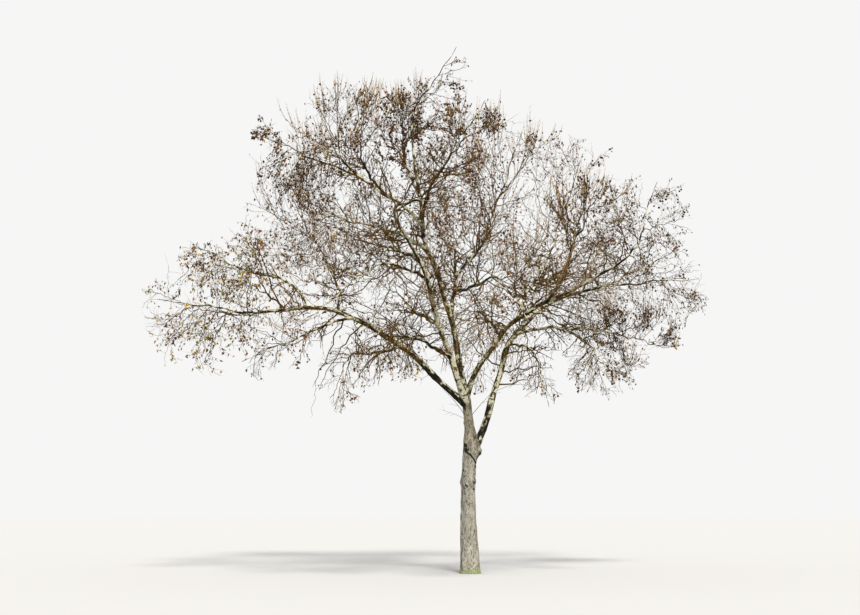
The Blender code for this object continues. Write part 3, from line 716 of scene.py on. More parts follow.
def twig_skins(twigs):
    """Three-sided tubes that end in a point, all as one array: each ring's three corners stand at its
    radius round the line's point, and the last point is the tip. The foot is closed by one triangle."""
    points, radius = twigs.points, twigs.radius
    count, rings = points.shape[0], points.shape[1] - 1
    along = unit(np.gradient(points, axis=1))
    chord = unit(points[:, -1] - points[:, 0])
    square = unit(np.cross(chord, ASKEW))[:, None]
    across = unit(square - (along * square).sum(-1, keepdims=True) * along)
    over = np.cross(along, across)
    turn = round_angles(3)
    spin = np.cos(turn)[:, None] * across[:, :-1, None] + np.sin(turn)[:, None] * over[:, :-1, None]
    skin = (points[:, :-1, None] + radius[:, :-1, None, None] * spin).reshape(count, rings * 3, 3)
    every = np.concatenate([skin, points[:, -1:]], axis=1)
    faces = tube_faces(rings, 3)
    faces = np.concatenate([faces[: (rings - 1) * 6], [[0, 2, 1]], faces[-3:]])
    faces[-3:, 2] = rings * 3
    return every.reshape(-1, 3), copied(faces, count, rings * 3 + 1)


def ball_skins(foot, centre, radius):
    """Round seed heads, all as one array: the twelve corners of an icosahedron at the radius from each
    centre, and a three-sided stalk 2 mm thick from the foot to the centre, closed at both ends."""
    g = (1 + math.sqrt(5)) / 2
    corners = np.array([(0, 1, g), (0, -1, g), (0, 1, -g), (0, -1, -g), (1, g, 0), (-1, g, 0), (1, -g, 0),
                        (-1, -g, 0), (g, 0, 1), (g, 0, -1), (-g, 0, 1), (-g, 0, -1)])
    gaps = np.linalg.norm(corners[:, None] - corners, axis=2)
    faces = np.array([(a, b, c) for a in range(12) for b in range(a + 1, 12) for c in range(b + 1, 12)
                      if max(gaps[a, b], gaps[b, c], gaps[a, c]) < 2.1])
    first, second, third = (corners[faces[:, i]] for i in range(3))
    inward = (np.cross(second - first, third - first) * first).sum(1) < 0
    faces = np.where(inward[:, None], faces[:, ::-1], faces)
    balls = centre[:, None] + radius[:, None, None] * unit(corners)
    along = unit(centre - foot)
    side = unit(np.cross(along, ASKEW))
    turn = round_angles(3)
    over = np.cross(along, side)[:, None]
    ring = 0.001 * (np.cos(turn)[:, None] * side[:, None] + np.sin(turn)[:, None] * over)
    every = np.concatenate([balls, foot[:, None] + ring, centre[:, None] + ring], axis=1)
    wall = tube_faces(2, 3)[:6] + 12
    faces = np.concatenate([faces, wall, [[12, 14, 13], [15, 16, 17]]])
    return every.reshape(-1, 3), copied(faces, len(foot), 18)


LEAF_OUTLINE = np.array(  # across and along, from the stalk round a lobed blade and back
    [(0, 0), (0.46, 0.24), (0.26, 0.60), (0, 1), (-0.24, 0.62), (-0.46, 0.28)]
)


def leaf_skins(foot, down, face, length, width, curl):
    """Curled leaves, all as one array: the outline laid along down and across it, its edges raised by curl
    times the distance from the rib, its tip bent by the square of the way along, and a middle point on each
    side of the rib that gives the blade its thickness."""
    shape = np.vstack([LEAF_OUTLINE, [0, 0.42], [0, 0.42]])
    raise_by = curl[:, None] * (np.abs(shape[:, 0]) * 1.1 + 0.30 * shape[:, 1] ** 2)
    raise_by = raise_by + np.array([0] * 6 + [0.016, -0.016])
    across = np.cross(down, face)
    every = foot[:, None] + length[:, None, None] * (
        shape[:, 1, None] * down[:, None]
        + (shape[:, 0] * width[:, None])[..., None] * across[:, None]
        + raise_by[..., None] * face[:, None]
    )
    here = np.arange(6)
    after = (here + 1) % 6
    rib = np.full(6, 6)
    faces = np.concatenate([np.stack([here, after, rib], -1), np.stack([after, here, rib + 1], -1)])
    return every.reshape(-1, 3), copied(faces, len(foot), 8)


# ---- Places of marks on the bark -------------------------------------------------------------------------

KNOTS = (  # on the trunk: height, bearing, swell and reach of the bump, and depth of the hollow in it
    (2.64, 354, 0.112, 0.105, 0.014),
    (2.86, 352, 0.075, 0.160, 0.0),
    (1.98, 165, 0.024, 0.075, 0.0),
    (1.90, 250, 0.018, 0.090, 0.020),
    (1.99, 340, 0.022, 0.055, 0.010),
    (2.02, 290, 0.010, 0.090, 0.0),
    (2.33, 262, 0.006, 0.045, 0.006),
    (1.16, 318, 0.006, 0.050, 0.005),
    (3.28, 196, 0.016, 0.050, 0.010),
)
FOLD = ((212, 2.70), (240, 2.63), (276, 2.56), (310, 2.45), (345, 2.36), (356, 2.33))  # bearing and height
PAINTED_SHADE_MARKS = (  # x, y, height, reach and strength of the painted shade in the fork's crotches and clefts and under the burl, and of darker marks lower on the trunk
    (0.32, -0.04, 3.10, 0.100, 1.5),
    (0.30, -0.05, 3.00, 0.060, 1.2),
    (0.37, -0.02, 3.20, 0.050, 1.0),
    (0.22, -0.03, 3.06, 0.060, 1.3),
    (0.34, -0.03, 3.31, 0.045, 0.9),
    (0.37, -0.03, 3.38, 0.040, 0.8),
    (0.12, -0.12, 2.96, 0.040, 0.9),
    (0.19, -0.07, 2.93, 0.045, 1.1),
    (0.17, -0.11, 2.86, 0.035, 0.8),
    (0.25, -0.05, 2.87, 0.050, 1.2),
    (0.24, -0.07, 2.60, 0.055, 0.8),
    (0.19, -0.03, 2.50, 0.060, 0.9),
    (0.15, -0.03, 2.40, 0.050, 0.8),
    (-0.08, -0.12, 2.68, 0.055, 1.3),
    (-0.10, -0.08, 2.78, 0.070, 1.1),
    (-0.15, -0.05, 3.66, 0.120, 0.9),
    (-0.12, -0.04, 3.45, 0.060, 0.7),
    (0.05, -0.10, 3.62, 0.045, 0.7),
    (0.14, -0.05, 2.31, 0.050, 0.8),
    (0.13, -0.05, 2.14, 0.045, 0.6),
    (0.11, -0.08, 1.97, 0.050, 0.7),
    (0.09, -0.08, 1.82, 0.050, 0.7),
    (0.02, -0.14, 1.87, 0.040, 0.6),
    (-0.06, -0.16, 1.87, 0.040, 0.6),
    (-0.13, -0.14, 1.89, 0.035, 0.6),
    (-0.14, -0.08, 2.24, 0.050, 0.5),
    (-0.15, -0.09, 1.70, 0.040, 0.5),
)
PALENESS = {  # of each limb's bark, from 0, dark brown, to 1, cream
    "pale_stem": 0.84,
    "right_bough": 0.54,
    "left_bough": 0.35,
    "centre_stem": 0.43,
    "inner_right": 0.60,
    "right_centre": 0.22,
    "upper_left": 0.82,
    "high_left": 0.95,
    "left_front": 0.30,
    "right_low": 0.95,
    "right_skirt": 0.62,
}
REGIONS = {  # masses whose twigs are joined into the same pieces
    "left": ("left_bough", "left_arch", "left_low", "left_under", "left_riser", "left_back", "left_front"),
    "middle": ("pale_stem", "mid_left_front", "mid_left_back", "high_left", "right_centre", "mid_right",
               "centre_drop"),
    "top": ("centre_stem", "upper_left", "shoulder_left", "upper_mid", "leader_left", "high_right",
            "high_right_back"),
    "right": ("inner_right", "right_bough", "right_riser", "right_riser_front", "right_low", "right_drop",
              "right_skirt", "back_right"),
}


# ---- Materials -------------------------------------------------------------------------------------------


def put(tree, kind, inputs, **settings):
    """A new node. Each input is a number, a colour or the output of another node."""
    node = tree.nodes.new(kind)
    for name, value in settings.items():
        setattr(node, name, value)
    for name, value in inputs.items():
        if isinstance(value, bpy.types.NodeSocket):
            tree.links.new(value, node.inputs[name])
        else:
            node.inputs[name].default_value = value
    return node


def grain_noise(tree, places, stretch, detail, shift=0.0):
    """Noise on the straightened limb, stretched along it."""
    moved = put(tree, "ShaderNodeMapping", {"Vector": places, "Location": (shift,) * 3, "Scale": stretch})
    inputs = {"Vector": moved.outputs[0], "Scale": 1.0, "Detail": detail}
    return put(tree, "ShaderNodeTexNoise", inputs).outputs[0]


def grain_mask(tree, places, stretch, detail, shift, *limits):
    """Patches cut out of that noise by a soft step."""
    return mask(tree, grain_noise(tree, places, stretch, detail, shift), *limits)


def point_values(tree, name, output="Fac"):
    """The values that a piece keeps at its points under a name."""
    return put(tree, "ShaderNodeAttribute", {}, attribute_name=name).outputs[output]


def bent_places(tree, places, stretch):
    """The straightened limb's places, stretched along it and pushed about by noise, so that cells on it
    look torn."""
    push = put(tree, "ShaderNodeTexNoise", {"Vector": places, "Scale": 14.0, "Detail": 3.0}).outputs["Color"]
    terms = {0: push, 1: (0.09, 0.09, 0.30), 2: places}
    pushed = put(tree, "ShaderNodeVectorMath", terms, operation="MULTIPLY_ADD")
    return put(tree, "ShaderNodeMapping", {"Vector": pushed.outputs[0], "Scale": stretch}).outputs[0]


def mask(tree, value, low, high, start=0.0, stop=1.0):
    """A soft step from start to stop as the value goes from low to high."""
    limits = {"Value": value, "From Min": low, "From Max": high, "To Min": start, "To Max": stop}
    return put(tree, "ShaderNodeMapRange", limits, interpolation_type="SMOOTHSTEP").outputs[0]


def maths(tree, operation, first, second):
    """Two values worked into one."""
    return put(tree, "ShaderNodeMath", {0: first, 1: second}, operation=operation).outputs[0]


def plus(tree, first, second):
    """The sum of two values."""
    return maths(tree, "ADD", first, second)


def times(tree, first, second):
    """The product of two values."""
    return maths(tree, "MULTIPLY", first, second)


def tinted(tree, share, first, second):
    """The first colour, turned to the second by a share."""
    first, second = (c if isinstance(c, bpy.types.NodeSocket) else (*c, 1) for c in (first, second))
    return put(tree, "ShaderNodeMix", {0: share, 6: first, 7: second}, data_type="RGBA").outputs[2]


def new_material(name, roughness):
    """A material, its node tree and its shader."""
    material = bpy.data.materials.new(name)
    material.use_nodes = True
    shader = material.node_tree.nodes["Principled BSDF"]
    shader.inputs["Roughness"].default_value = roughness
    shader.inputs["Specular IOR Level"].default_value = 0.08
    return material, material.node_tree, shader


def relief_bump(tree, shader, height, distance):
    """Fine relief that the mesh is too coarse for."""
    bump = put(tree, "ShaderNodeBump", {"Height": height, "Distance": distance, "Strength": 1.0})
    tree.links.new(bump.outputs[0], shader.inputs["Normal"])


def trunk_bark_material(look):
    """Flaking bark: cream and grey plates, upright russet flecks, darker pits and a green foot, with painted
    shade on the left side and in the fork, the knots and the fold."""
    material, tree, shader = new_material("flaking_trunk_bark", 0.88)
    places, painted_shade_marks = point_values(tree, "straight_place", "Vector"), point_values(tree, "painted_shade_marks")
    grain, cut = functools.partial(grain_mask, tree, places), functools.partial(mask, tree)
    where = put(tree, "ShaderNodeTexCoord", {}).outputs["Object"]
    x, _, z = put(tree, "ShaderNodeSeparateXYZ", {0: where}).outputs

    plates = grain_noise(tree, places, (9, 9, 3.2), 5)
    colour = tinted(tree, cut(plates, 0.42, 0.58), look.trunk_grey, look.trunk_pale)
    colour = tinted(tree, times(tree, cut(z, 2.45, 3.3), 0.85), colour, look.trunk_top)
    strips = times(tree, grain((30, 30, 4.5), 4, 33.0, 0.50, 0.60), cut(z, 1.9, 3.2, 0.12, 0.75))
    colour = tinted(tree, strips, colour, look.bough_brown)
    # Painted shade: grey-dark patches on the trunk's left side, away from the key light.
    painted_left_shade = grain((18, 18, 5.5), 5, 3.0, 0.45, 0.56, 0.12, 0.95)
    painted_left_shade = times(tree, painted_left_shade, cut(x, -0.04, -0.22, 0.12, 1.0))
    colour = tinted(tree, painted_left_shade, colour, look.trunk_painted_shade_and_pits)

    torn = {"Vector": bent_places(tree, places, (15, 15, 3.6)), "Scale": 1.0}
    cells = put(tree, "ShaderNodeTexVoronoi", torn, feature="DISTANCE_TO_EDGE").outputs["Distance"]
    edges, flecks = cut(cells, 0.06, 0.015, 0.0, 0.6), grain((40, 40, 15), 3, 5.0, 0.54, 0.60)
    flecks = maths(tree, "MAXIMUM", flecks, edges)
    flecks = times(tree, flecks, grain((7, 7, 1.8), 2, 9.0, 0.40, 0.56, 0.10, 1.0))
    sunny = maths(tree, "MAXIMUM", cut(x, -0.14, 0.10, 0.25, 1.0), cut(z, 1.75, 1.95, 0.0, 0.8))
    colour = tinted(tree, times(tree, flecks, sunny), colour, look.fleck)
    colour = tinted(tree, grain((38, 38, 17), 5, 13.0, 0.53, 0.63, 0.0, 0.85), colour, look.bough_brown)
    colour = tinted(tree, grain((150, 150, 40), 4, 17.0, 0.35, 0.65, 0.3, 0.0), colour, look.trunk_painted_shade_and_pits)

    # Painted shade in the fork, the knots' hollows and the fold, with ragged edges.
    ragged_painted_shade = plus(tree, painted_shade_marks, grain((30, 30, 12), 4, 21.0, 0.3, 0.7, -0.3, 0.3))
    colour = tinted(tree, cut(ragged_painted_shade, 0.40, 0.62, 0.0, 0.95), colour, look.bough_dark_and_painted_shade)
    damp = plus(tree, z, grain((30, 30, 18), 4, 25.0, 0.35, 0.65, -0.09, 0.09))
    colour = tinted(tree, cut(damp, 0.09, 0.03, 0.0, 0.8), colour, look.moss)
    tree.links.new(colour, shader.inputs["Base Color"])
    height = plus(tree, times(tree, plates, 1.5), grain_noise(tree, places, (55, 55, 15), 6, 29.0))
    relief_bump(tree, shader, height, 0.012)
    return material


def bough_bark_material(look):
    """Mottled bark: olive cream where it has flaked and brown-black where it hasn't, with painted shade
    below, painted light on top and painted shade in the fork.
    """
    material, tree, shader = new_material("mottled_bough_bark", 0.84)
    places, painted_shade_marks = point_values(tree, "straight_place", "Vector"), point_values(tree, "painted_shade_marks")
    grain, cut = functools.partial(grain_mask, tree, places), functools.partial(mask, tree)
    pale = point_values(tree, "paleness")
    # Painted light and shade: the bark is paler on faces turned up towards the key light and darker on its
    # undersides, read from the normal.
    normal = put(tree, "ShaderNodeNewGeometry", {}).outputs["Normal"]
    painted_sun_terms = {0: normal, 1: (0.25, -0.25, 0.90)}
    painted_sun_facing = put(tree, "ShaderNodeVectorMath", painted_sun_terms, operation="DOT_PRODUCT").outputs["Value"]

    patches = grain_noise(tree, places, (13, 13, 5.5), 6)
    level = plus(tree, patches, times(tree, maths(tree, "SUBTRACT", pale, 0.58), 0.34))
    # Painted shade below and painted light on top shift the pattern's level.
    level = plus(tree, level, cut(painted_sun_facing, -0.50, 0.70, -0.08, 0.06))
    colour = tinted(tree, cut(level, 0.41, 0.48), look.bough_dark_and_painted_shade, look.bough_brown)
    colour = tinted(tree, cut(level, 0.47, 0.55), colour, look.bough_pale)
    colour = tinted(tree, cut(level, 0.60, 0.72, 0.0, 0.6), colour, look.trunk_pale)
    colour = tinted(tree, grain((60, 60, 14), 4, 5.0, 0.56, 0.68, 0.0, 0.7), colour, look.bough_brown)
    colour = tinted(tree, grain((6, 6, 22), 3, 9.0, 0.57, 0.65, 0.0, 0.85), colour, look.bough_dark_and_painted_shade)
    # Painted shade in the fork, with ragged edges.
    ragged_painted_shade = plus(tree, painted_shade_marks, grain((30, 30, 12), 4, 21.0, 0.3, 0.7, -0.3, 0.3))
    colour = tinted(tree, cut(ragged_painted_shade, 0.42, 0.62, 0.0, 0.93), colour, look.bough_dark_and_painted_shade)
    tree.links.new(colour, shader.inputs["Base Color"])
    relief_bump(tree, shader, plus(tree, patches, grain_noise(tree, places, (70, 70, 22), 6, 29.0)), 0.008)
    return material


def plain_material(name, colour, roughness):
    """One base colour, for pieces whose colour is dealt out by spray."""
    material, _, shader = new_material(name, roughness)
    shader.inputs["Base Color"].default_value = (*colour, 1)
    return material


# ---- Pieces ----------------------------------------------------------------------------------------------


def put_mesh(name, points, faces, material):
    """A smooth-shaded mesh object from an array of points and one of triangles."""
    mesh = bpy.data.meshes.new(name)
    mesh.vertices.add(len(points))
    mesh.vertices.foreach_set("co", np.ascontiguousarray(points, np.float32).ravel())
    mesh.loops.add(faces.size)
    mesh.loops.foreach_set("vertex_index", np.ascontiguousarray(faces, np.int32).ravel())
    mesh.polygons.add(len(faces))
    mesh.polygons.foreach_set("loop_start", np.arange(0, faces.size, 3, dtype=np.int32))
    mesh.update(calc_edges=True)
    mesh.shade_smooth()
    mesh.materials.append(material)
    made = bpy.data.objects.new(name, mesh)
    bpy.context.scene.collection.objects.link(made)
    return made


def put_piece(name, points, faces, material, slot_name, replaced=(), **attributes):
    """A piece of the tree: a mesh that rides on the tree's one body, with values at its points for the
    material."""
    piece = put_mesh(name, points, faces, material)
    for label, values in attributes.items():
        kind, field = ("FLOAT_VECTOR", "vector") if values.ndim == 2 else ("FLOAT", "value")
        attribute = piece.data.attributes.new(label, kind, "POINT")
        attribute.data.foreach_set(field, np.ascontiguousarray(values, np.float32).ravel())
    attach(piece, "root")
    if replaced:
        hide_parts(*replaced)


def stacked(parts):
    """Several skins as one: their points one after another, and their triangles moved on to match."""
    starts = np.cumsum([0] + [len(part[0]) for part in parts[:-1]])
    points = np.concatenate([part[0] for part in parts])
    faces = np.concatenate([part[1] + start for part, start in zip(parts, starts, strict=True)])
    return points, faces


def spray(twigs, steps):
    """The key of the twig that many orders before each of these."""
    key = twigs.key
    for _ in range(steps):
        key = (key - 1) // 64
    return key


def tone(twigs, steps):
    """The number of each twig's tone, the same for a whole spray: brown, grey or russet."""
    chance, hangs = draw(spray(twigs, steps), 35), LIFTS[twigs.mass] < 0
    return (chance > np.where(hangs, 0.25, 0.46)).astype(int) + (chance > np.where(hangs, 0.86, 0.76))


def colour_setting(name, description, default):
    """A colour that a user may change."""
    return bpy.props.FloatVectorProperty(
        name=name, description=description, default=default, size=3, min=0, max=1, subtype="COLOR"
    )


def number_setting(name, description, default, least, most, **kind):
    """A number that a user may change, between a least and a most."""
    return bpy.props.FloatProperty(
        name=name, description=description, default=default, min=least, max=most, **kind
    )


class BarkSettings(bpy.types.PropertyGroup):
    """Relief and colours of the bark on the trunk and the boughs."""

    relief: number_setting("Relief", "Height of the bark's plates", 0.005, 0, 0.02, unit="LENGTH")
    trunk_pale: colour_setting("Trunk, flaked", "Fresh bark under the plates", (0.455, 0.440, 0.375))
    trunk_top: colour_setting("Trunk, top", "Olive bark below the fork", (0.285, 0.262, 0.175))
    trunk_grey: colour_setting("Trunk, plates", "Old bark that has not flaked yet", (0.33, 0.315, 0.26))
    # Painted shade on the trunk's left side. The same colour also gives the trunk's fine dark pits.
    trunk_painted_shade_and_pits: colour_setting("Trunk, painted shade", "Painted shade on the left side, and dark pits", (0.125, 0.118, 0.100))
    fleck: colour_setting("Flecks", "Thin upright scales on the trunk", (0.15, 0.095, 0.060))
    bough_pale: colour_setting("Boughs, flaked", "Fresh bark on the boughs", (0.46, 0.44, 0.31))
    bough_brown: colour_setting("Boughs, brown", "Old bark on the boughs", (0.056, 0.046, 0.026))
    # The boughs' dark bark. The same colour also gives the painted shade under them, in the fork, the knots
    # and the fold.
    bough_dark_and_painted_shade: colour_setting("Boughs, dark", "Dark bark, and painted shade under the boughs and in the fork", (0.009, 0.008, 0.006))
    moss: colour_setting("Moss", "Growth at the very foot", (0.19, 0.25, 0.06))


class TwigSettings(bpy.types.PropertyGroup):
    """Thickness and colours of the twigs."""

    girth: number_setting("Girth", "Thickness beside the rule's sizes", 1.0, 0.3, 2, subtype="FACTOR")
    bark: colour_setting("Older twigs", "Bark of the twigs that carry others", (0.056, 0.033, 0.005))
    brown: colour_setting("Brown sprigs", "Most of the last year's twigs", (0.112, 0.051, 0.003))
    grey: colour_setting("Grey sprigs", "Weathered twigs", (0.200, 0.148, 0.028))
    russet: colour_setting("Russet sprigs", "Twigs with reddish bark", (0.235, 0.098, 0.008))
    young: colour_setting("Young shoots", "Straight new shoots at the top", (0.240, 0.155, 0.062))


class LeafSettings(bpy.types.PropertyGroup):
    """Amount, size and colours of the dry leaves that still hang."""

    share: number_setting("Amount", "Share of a sprig's places with a leaf", 0.52, 0, 1, subtype="FACTOR")
    length: number_setting("Length", "Length of a middling leaf", 0.058, 0.02, 0.2, unit="LENGTH")
    brown: colour_setting("Brown", "Most of the leaves", (0.048, 0.021, 0.008))
    russet: colour_setting("Russet", "Leaves that turned red", (0.130, 0.046, 0.014))
    orange: colour_setting("Orange", "Leaves of the brightest sprays", (0.34, 0.13, 0.016))
    yellow: colour_setting("Yellow", "The last leaves to turn", (0.44, 0.28, 0.026))
    olive: colour_setting("Olive", "Leaves still green in part", (0.13, 0.13, 0.025))


class SeedSettings(bpy.types.PropertyGroup):
    """Amount, size and colour of the seed balls."""

    share: number_setting("Amount", "Share of a shoot's places that carry one", 0.42, 0, 1, subtype="FACTOR")
    size: number_setting("Size", "Thickness of a middling seed ball", 0.050, 0.01, 0.08, unit="LENGTH")
    colour: colour_setting("Colour", "The dry seeds", (0.050, 0.024, 0.013))


class StageSettings(bpy.types.PropertyGroup):
    """The floor and the light."""

    floor: colour_setting("Floor", "Colour of the plain floor", (0.445, 0.445, 0.447))
    daylight: number_setting("Daylight", "Strength of the even light from all round", 0.92, 0, 3)
    key: number_setting("Key light", "Strength of the soft light from high in front", 5.0, 0, 10)


COARSE_ORDERS = ("low", "side", "back", "shoots", "shoot_twigs", "fine")
SPRIG_ORDERS = (("sprigs", 1), ("spurs", 2))  # each with how many orders it comes after the fine twigs
LEAF_KINDS = ("brown", "russet", "orange", "yellow", "olive")
LEAF_SHARES = {  # of each kind in a mass, in that order
    "left_bough": (0.36, 0.22, 0.09, 0.15, 0.18),
    "left_arch": (0.27, 0.27, 0.18, 0.17, 0.11),
    "left_riser": (0.50, 0.32, 0.08, 0.07, 0.03),
    "shoulder_left": (0.52, 0.38, 0.07, 0.02, 0.01),
}
LEAFINESS = {  # how many leaves a mass keeps, beside the masses that aren't named here
    "centre_drop": 0.3,
    "right_drop": 0.3,
    "left_under": 0.3,
    "left_low": 0.3,
    "right_low": 0.3,
    "left_bough": 1.5,
    "left_arch": 1.6,
    "left_riser": 1.5,
    "shoulder_left": 1.5,
    "back_right": 1.7,
    "right_skirt": 1.5,
    "right_bough": 1.5,
    "high_right": 1.3,
    "leader_left": 1.3,
}
COMMON_SHARES = (0.60, 0.350, 0.025, 0.015, 0.010)
FLOOR_SIDES, FLOOR_RADIUS = 96, 90
CAMERA_PLACE = (-0.875, -28.0, 1.6)
CAMERA_PITCH = 98.7  # in degrees, where 90 is level
FOCAL_SHARE = 1253.8 / 860  # focal length as a share of the frame's width


class TREE_OT_trunk_bark(bpy.types.Operator):
    """Skins the trunk with flaking bark, its knots and its fold"""

    bl_idname = "tree.trunk_bark"
    bl_label = "Trunk bark"

    def execute(self, context):
        look = context.scene.tree_bark
        points, faces, places, painted_shade_marks = trunk_skin(look.relief)
        material = trunk_bark_material(look)
        marks = {"straight_place": places, "painted_shade_marks": painted_shade_marks}
        put_piece("trunk_bark", points, faces, material, "trunk_bark", ["trunk"], **marks)
        return {"FINISHED"}


class TREE_OT_bough_bark(bpy.types.Operator):
    """Skins every bough, and the stem that goes on from its tip, with mottled bark"""

    bl_idname = "tree.bough_bark"
    bl_label = "Bough bark"

    def execute(self, context):
        look = context.scene.tree_bark
        material = bough_bark_material(look)
        stems = stem_lines()
        for kind, thick in (("main_boughs", True), ("side_boughs", False)):
            skins, places, pale, names = [], [], [], []
            for number, bough in enumerate(BOUGHS):
                if (bough.base > 0.050) != thick:
                    continue
                chord = np.linalg.norm(np.array(bough.tip) - LINES[bough.name][0])
                count = round(chord / (0.03 if thick else 0.045))
                line, radii = bough_line(number, bough, LINES[bough.parent], count)
                away = length_along(line)
                mother = 0.11 if bough.parent == "trunk" else 0.05
                radii = radii * (1 + 0.42 * np.exp(-((away / (mother * 2.4)) ** 2)))
                stem = rounded(stems.points[number : number + 1, 1:], 3)[0]
                taper = stems.radius[number, 1:]
                stem_radii = np.interp(np.linspace(0, 1, len(stem)), np.linspace(0, 1, len(taper)), taper)
                path, size = np.concatenate([line, stem]), np.concatenate([radii, stem_radii])
                every, faces, straight = limb_skin(number, path, size, 24 if thick else 14, look.relief)
                skins.append((every, faces))
                places.append(straight)
                fade = np.clip((straight[:, 2] - LIMB_GAP * number) / length_along(path)[-1], 0, 1)
                pale.append(PALENESS.get(bough.name, 0.44) * (1 - fade) + 0.46 * fade)
                names.append(bough.name)
            points, faces = stacked(skins)
            marks = {"straight_place": np.concatenate(places), "paleness": np.concatenate(pale)}
            marks["painted_shade_marks"] = painted_shade_marks_at(points)
            put_piece(kind + "_bark", points, faces, material, "bough_bark", names, **marks)
        return {"FINISHED"}


class TREE_OT_twigs(bpy.types.Operator):
    """Grows every mass's twigs, from the twigs on boughs and stems down to the spurs, by the seeded rule"""

    bl_idname = "tree.twigs"
    bl_label = "Twigs"

    def execute(self, context):
        look = context.scene.tree_twigs
        older = plain_material("older_twig_bark", look.bark, 0.8)
        slots = {"brown": "brown_twigs", "grey": "grey_twigs", "russet": "ochre_twigs"}
        tones = {kind: plain_material(kind + "_sprig_bark", getattr(look, kind), 0.78) for kind in slots}
        for region, limbs in REGIONS.items():
            members = [NUMBERS[limb] for limb in limbs]
            parts = {order: taken(t, np.isin(t.mass, members)) for order, t in crown().items()}
            parts = {order: t._replace(radius=t.radius * look.girth) for order, t in parts.items()}
            points, faces = stacked([twig_skins(parts[order]) for order in COARSE_ORDERS])
            replaced = [limb + "_twigs" for limb in limbs]
            put_piece("branchlets_" + region, points, faces, older, "brown_twigs", replaced)
            for number, kind in enumerate(tones):
                skins = []
                for order, steps in SPRIG_ORDERS:
                    skins.append(twig_skins(taken(parts[order], tone(parts[order], steps) == number)))
                points, faces = stacked(skins)
                put_piece(f"{kind}_sprigs_{region}", points, faces, tones[kind], slots[kind])
        young = plain_material("young_shoot_bark", look.young, 0.75)
        points, faces = stacked([twig_skins(crown()[order]) for order in ("whips", "buds")])
        put_piece("young_shoots", points, faces, young, "ochre_twigs")
        return {"FINISHED"}


class TREE_OT_seed_balls(bpy.types.Operator):
    """Hangs round seed heads on thin stalks from the shoots at the top, in short strings"""

    bl_idname = "tree.seed_balls"
    bl_label = "Seed balls"

    def execute(self, context):
        look = context.scene.tree_seeds
        found = []
        for order, share, strung in (("whips", 1.8, 0.50), ("fine", 1.0, 0.30)):
            twigs = crown()[order]
            high = np.clip((twigs.points[:, -1, 2] - 6.0) / 4.0, 0.15, 1.35)
            full = draw(spray(twigs, 1), 61) < strung
            for place in range(1, twigs.points.shape[1] - 1):
                key = twigs.key * 8 + place
                rows = np.flatnonzero(full & (draw(key, 62) < share * look.share * high))
                found.append((twigs.points[rows, place], key[rows]))
        foot, key = (np.concatenate(parts) for parts in zip(*found, strict=True))
        hang = unit(0.9 * stray(key, 63) + [0, 0, -0.8])
        centre = foot + hang * (0.035 + 0.05 * draw(key, 66))[:, None]
        points, faces = ball_skins(foot, centre, look.size / 2 * (0.8 + 0.4 * draw(key, 67)))
        put_piece("seed_balls", points, faces, plain_material("seed_ball", look.colour, 0.9), "brown_twigs")
        return {"FINISHED"}


class TREE_OT_leaves(bpy.types.Operator):
    """Hangs the last dry leaves on the sprigs, most of them in a few full sprays, each spray of one kind"""

    bl_idname = "tree.leaves"
    bl_label = "Dry leaves"

    def execute(self, context):
        look = context.scene.tree_leaves
        sprigs = joined(crown()["sprigs"], crown()["whips"])
        young = np.arange(len(sprigs.key)) >= len(crown()["sprigs"].key)
        late = np.array([bough.name in LEAF_SHARES for bough in BOUGHS])
        leafiness = np.array([LEAFINESS.get(bough.name, 1.0) for bough in BOUGHS])
        sprays = spray(sprigs, 1)
        full = draw(sprays, 31) < 0.45
        shares = np.array([LEAF_SHARES.get(bough.name, COMMON_SHARES) for bough in BOUGHS]).cumsum(1)
        found = []
        for place, along in enumerate((1.0, 0.62, 0.30)):
            key = sprigs.key * 8 + place
            amount = look.share * np.where(full, 1.7, 0.4) * leafiness[sprigs.mass]
            rows = np.flatnonzero((draw(key, 41) < amount) & ~(young & (along == 1.0)))
            after = min(int(along * 3) + 1, 3)
            part = along * 3 - (after - 1)
            points = sprigs.points[rows]
            foot = points[:, after - 1] * (1 - part) + points[:, after] * part
            own = draw(key[rows], 43) < 0.35
            chance = np.where(own, draw(key[rows], 44), draw(sprays[rows], 42))
            kind = (chance[:, None] > shares[sprigs.mass[rows], :4]).sum(1)
            found.append((foot, key[rows], kind, sprigs.mass[rows]))
        foot, key, kind, mass = (np.concatenate(parts) for parts in zip(*found, strict=True))
        down = unit(1.5 * stray(key, 50) + [0, 0, -0.8])
        face = unit(np.cross(down, stray(key, 53)))
        length = look.length * np.where(late[mass], 1.2, 1.0) * (0.6 + 0.8 * draw(key, 56))
        width = (0.40 + 0.45 * draw(key, 57)) * np.where(kind == 0, 0.75, 1.1)
        curl = 1.6 * (draw(key, 58) - 0.4)
        for number, label in enumerate(LEAF_KINDS):
            rows = kind == number
            blades = (column[rows] for column in (foot, down, face, length, width, curl))
            points, faces = leaf_skins(*blades)
            material = plain_material(label + "_leaf", getattr(look, label), 0.7)
            slot_name = "brown_twigs" if label == "brown" else "ochre_twigs"
            put_piece(label + "_leaves", points, faces, material, slot_name)
        return {"FINISHED"}


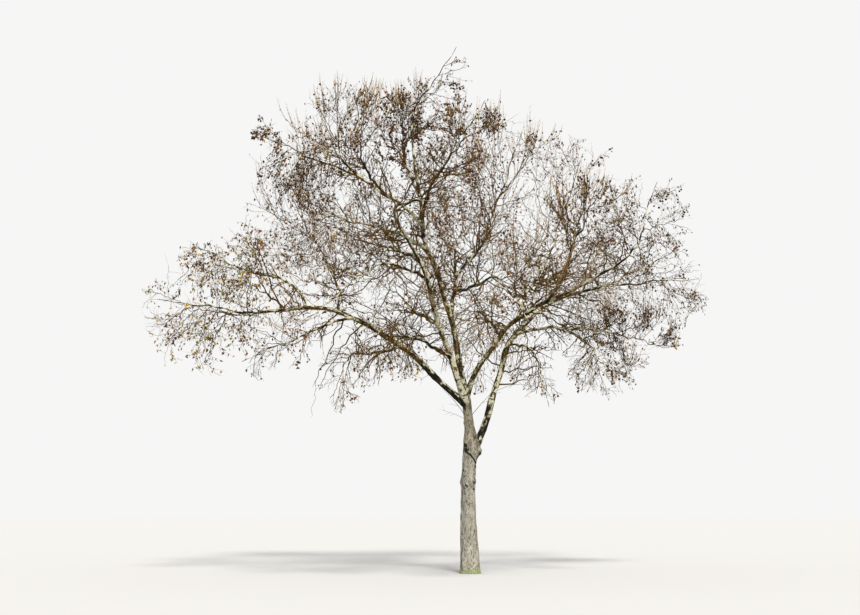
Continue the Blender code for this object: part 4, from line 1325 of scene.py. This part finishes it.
class TREE_OT_stage(bpy.types.Operator):
    """Lays the plain floor, and sets the soft light and the camera"""

    bl_idname = "tree.stage"
    bl_label = "Stage"

    def execute(self, context):
        look, scene = context.scene.tree_stage, context.scene
        turn = round_angles(FLOOR_SIDES)
        level = np.full(FLOOR_SIDES, -0.001)
        rim = np.stack([FLOOR_RADIUS * np.cos(turn), FLOOR_RADIUS * np.sin(turn), level], -1)
        here = np.arange(FLOOR_SIDES)
        faces = np.stack([here, (here + 1) % FLOOR_SIDES, np.full(FLOOR_SIDES, FLOOR_SIDES)], -1)
        material = plain_material("plain_floor", look.floor, 0.9)
        material.node_tree.nodes["Principled BSDF"].inputs["Specular IOR Level"].default_value = 0
        floor = put_mesh("floor", np.vstack([rim, [[0, 0, -0.001]]]), faces, material)

        sun = bpy.data.lights.new("key_light", "SUN")
        sun.energy, sun.angle, sun.color = look.key, math.radians(12), (1.0, 0.96, 0.88)
        lamp = bpy.data.objects.new("key_light", sun)
        lamp.rotation_euler = (math.radians(42), 0, math.radians(12))
        scene.collection.objects.link(lamp)

        scene.world = bpy.data.worlds.new("daylight")
        scene.world.use_nodes = True
        sky = scene.world.node_tree.nodes["Background"]
        sky.inputs["Color"].default_value = (1.0, 1.0, 0.995, 1)
        sky.inputs["Strength"].default_value = look.daylight
        scene.view_settings.view_transform = "Standard"

        view = bpy.data.cameras.new("camera")
        view.sensor_width, view.lens, view.clip_end = 36, 36 * FOCAL_SHARE, 500
        camera = bpy.data.objects.new("camera", view)
        camera.location = CAMERA_PLACE
        camera.rotation_euler = (math.radians(CAMERA_PITCH), 0, 0)
        scene.collection.objects.link(camera)
        scene.camera = camera
        return {"FINISHED"}


class TREE_PT_steps(bpy.types.Panel):
    """The tree's pieces and their settings, in the order in which they are made"""

    bl_idname = "TREE_PT_steps"
    bl_label = "Bare winter tree"
    bl_space_type = "VIEW_3D"
    bl_region_type = "UI"
    bl_category = "Tree"

    def draw(self, context):
        scene, layout = context.scene, self.layout
        settings = {"trunk_bark": scene.tree_bark, "twigs": scene.tree_twigs, "seed_balls": scene.tree_seeds,
                    "leaves": scene.tree_leaves, "stage": scene.tree_stage}
        for step in STEPS:
            name = step.bl_idname.split(".")[1]
            layout.operator(step.bl_idname)
            for field in getattr(settings.get(name), "__annotations__", {}):
                layout.prop(settings[name], field)


STEPS = (
    TREE_OT_trunk_bark,
    TREE_OT_bough_bark,
    TREE_OT_twigs,
    TREE_OT_seed_balls,
    TREE_OT_leaves,
    TREE_OT_stage,
)
SETTINGS = {
    "tree_bark": BarkSettings,
    "tree_twigs": TwigSettings,
    "tree_seeds": SeedSettings,
    "tree_leaves": LeafSettings,
    "tree_stage": StageSettings,
}
CLASSES = (*SETTINGS.values(), *STEPS, TREE_PT_steps)


def register():
    for kind in CLASSES:
        bpy.utils.register_class(kind)
    for name, kind in SETTINGS.items():
        setattr(bpy.types.Scene, name, bpy.props.PointerProperty(type=kind))


def unregister():
    for name in SETTINGS:
        delattr(bpy.types.Scene, name)
    for kind in CLASSES:
        bpy.utils.unregister_class(kind)


def main():
    register()
    bpy.ops.tree.trunk_bark()
    bpy.ops.tree.bough_bark()
    bpy.ops.tree.twigs()
    bpy.ops.tree.seed_balls()
    bpy.ops.tree.leaves()
    bpy.ops.tree.stage()


if __name__ == "__main__":
    main()
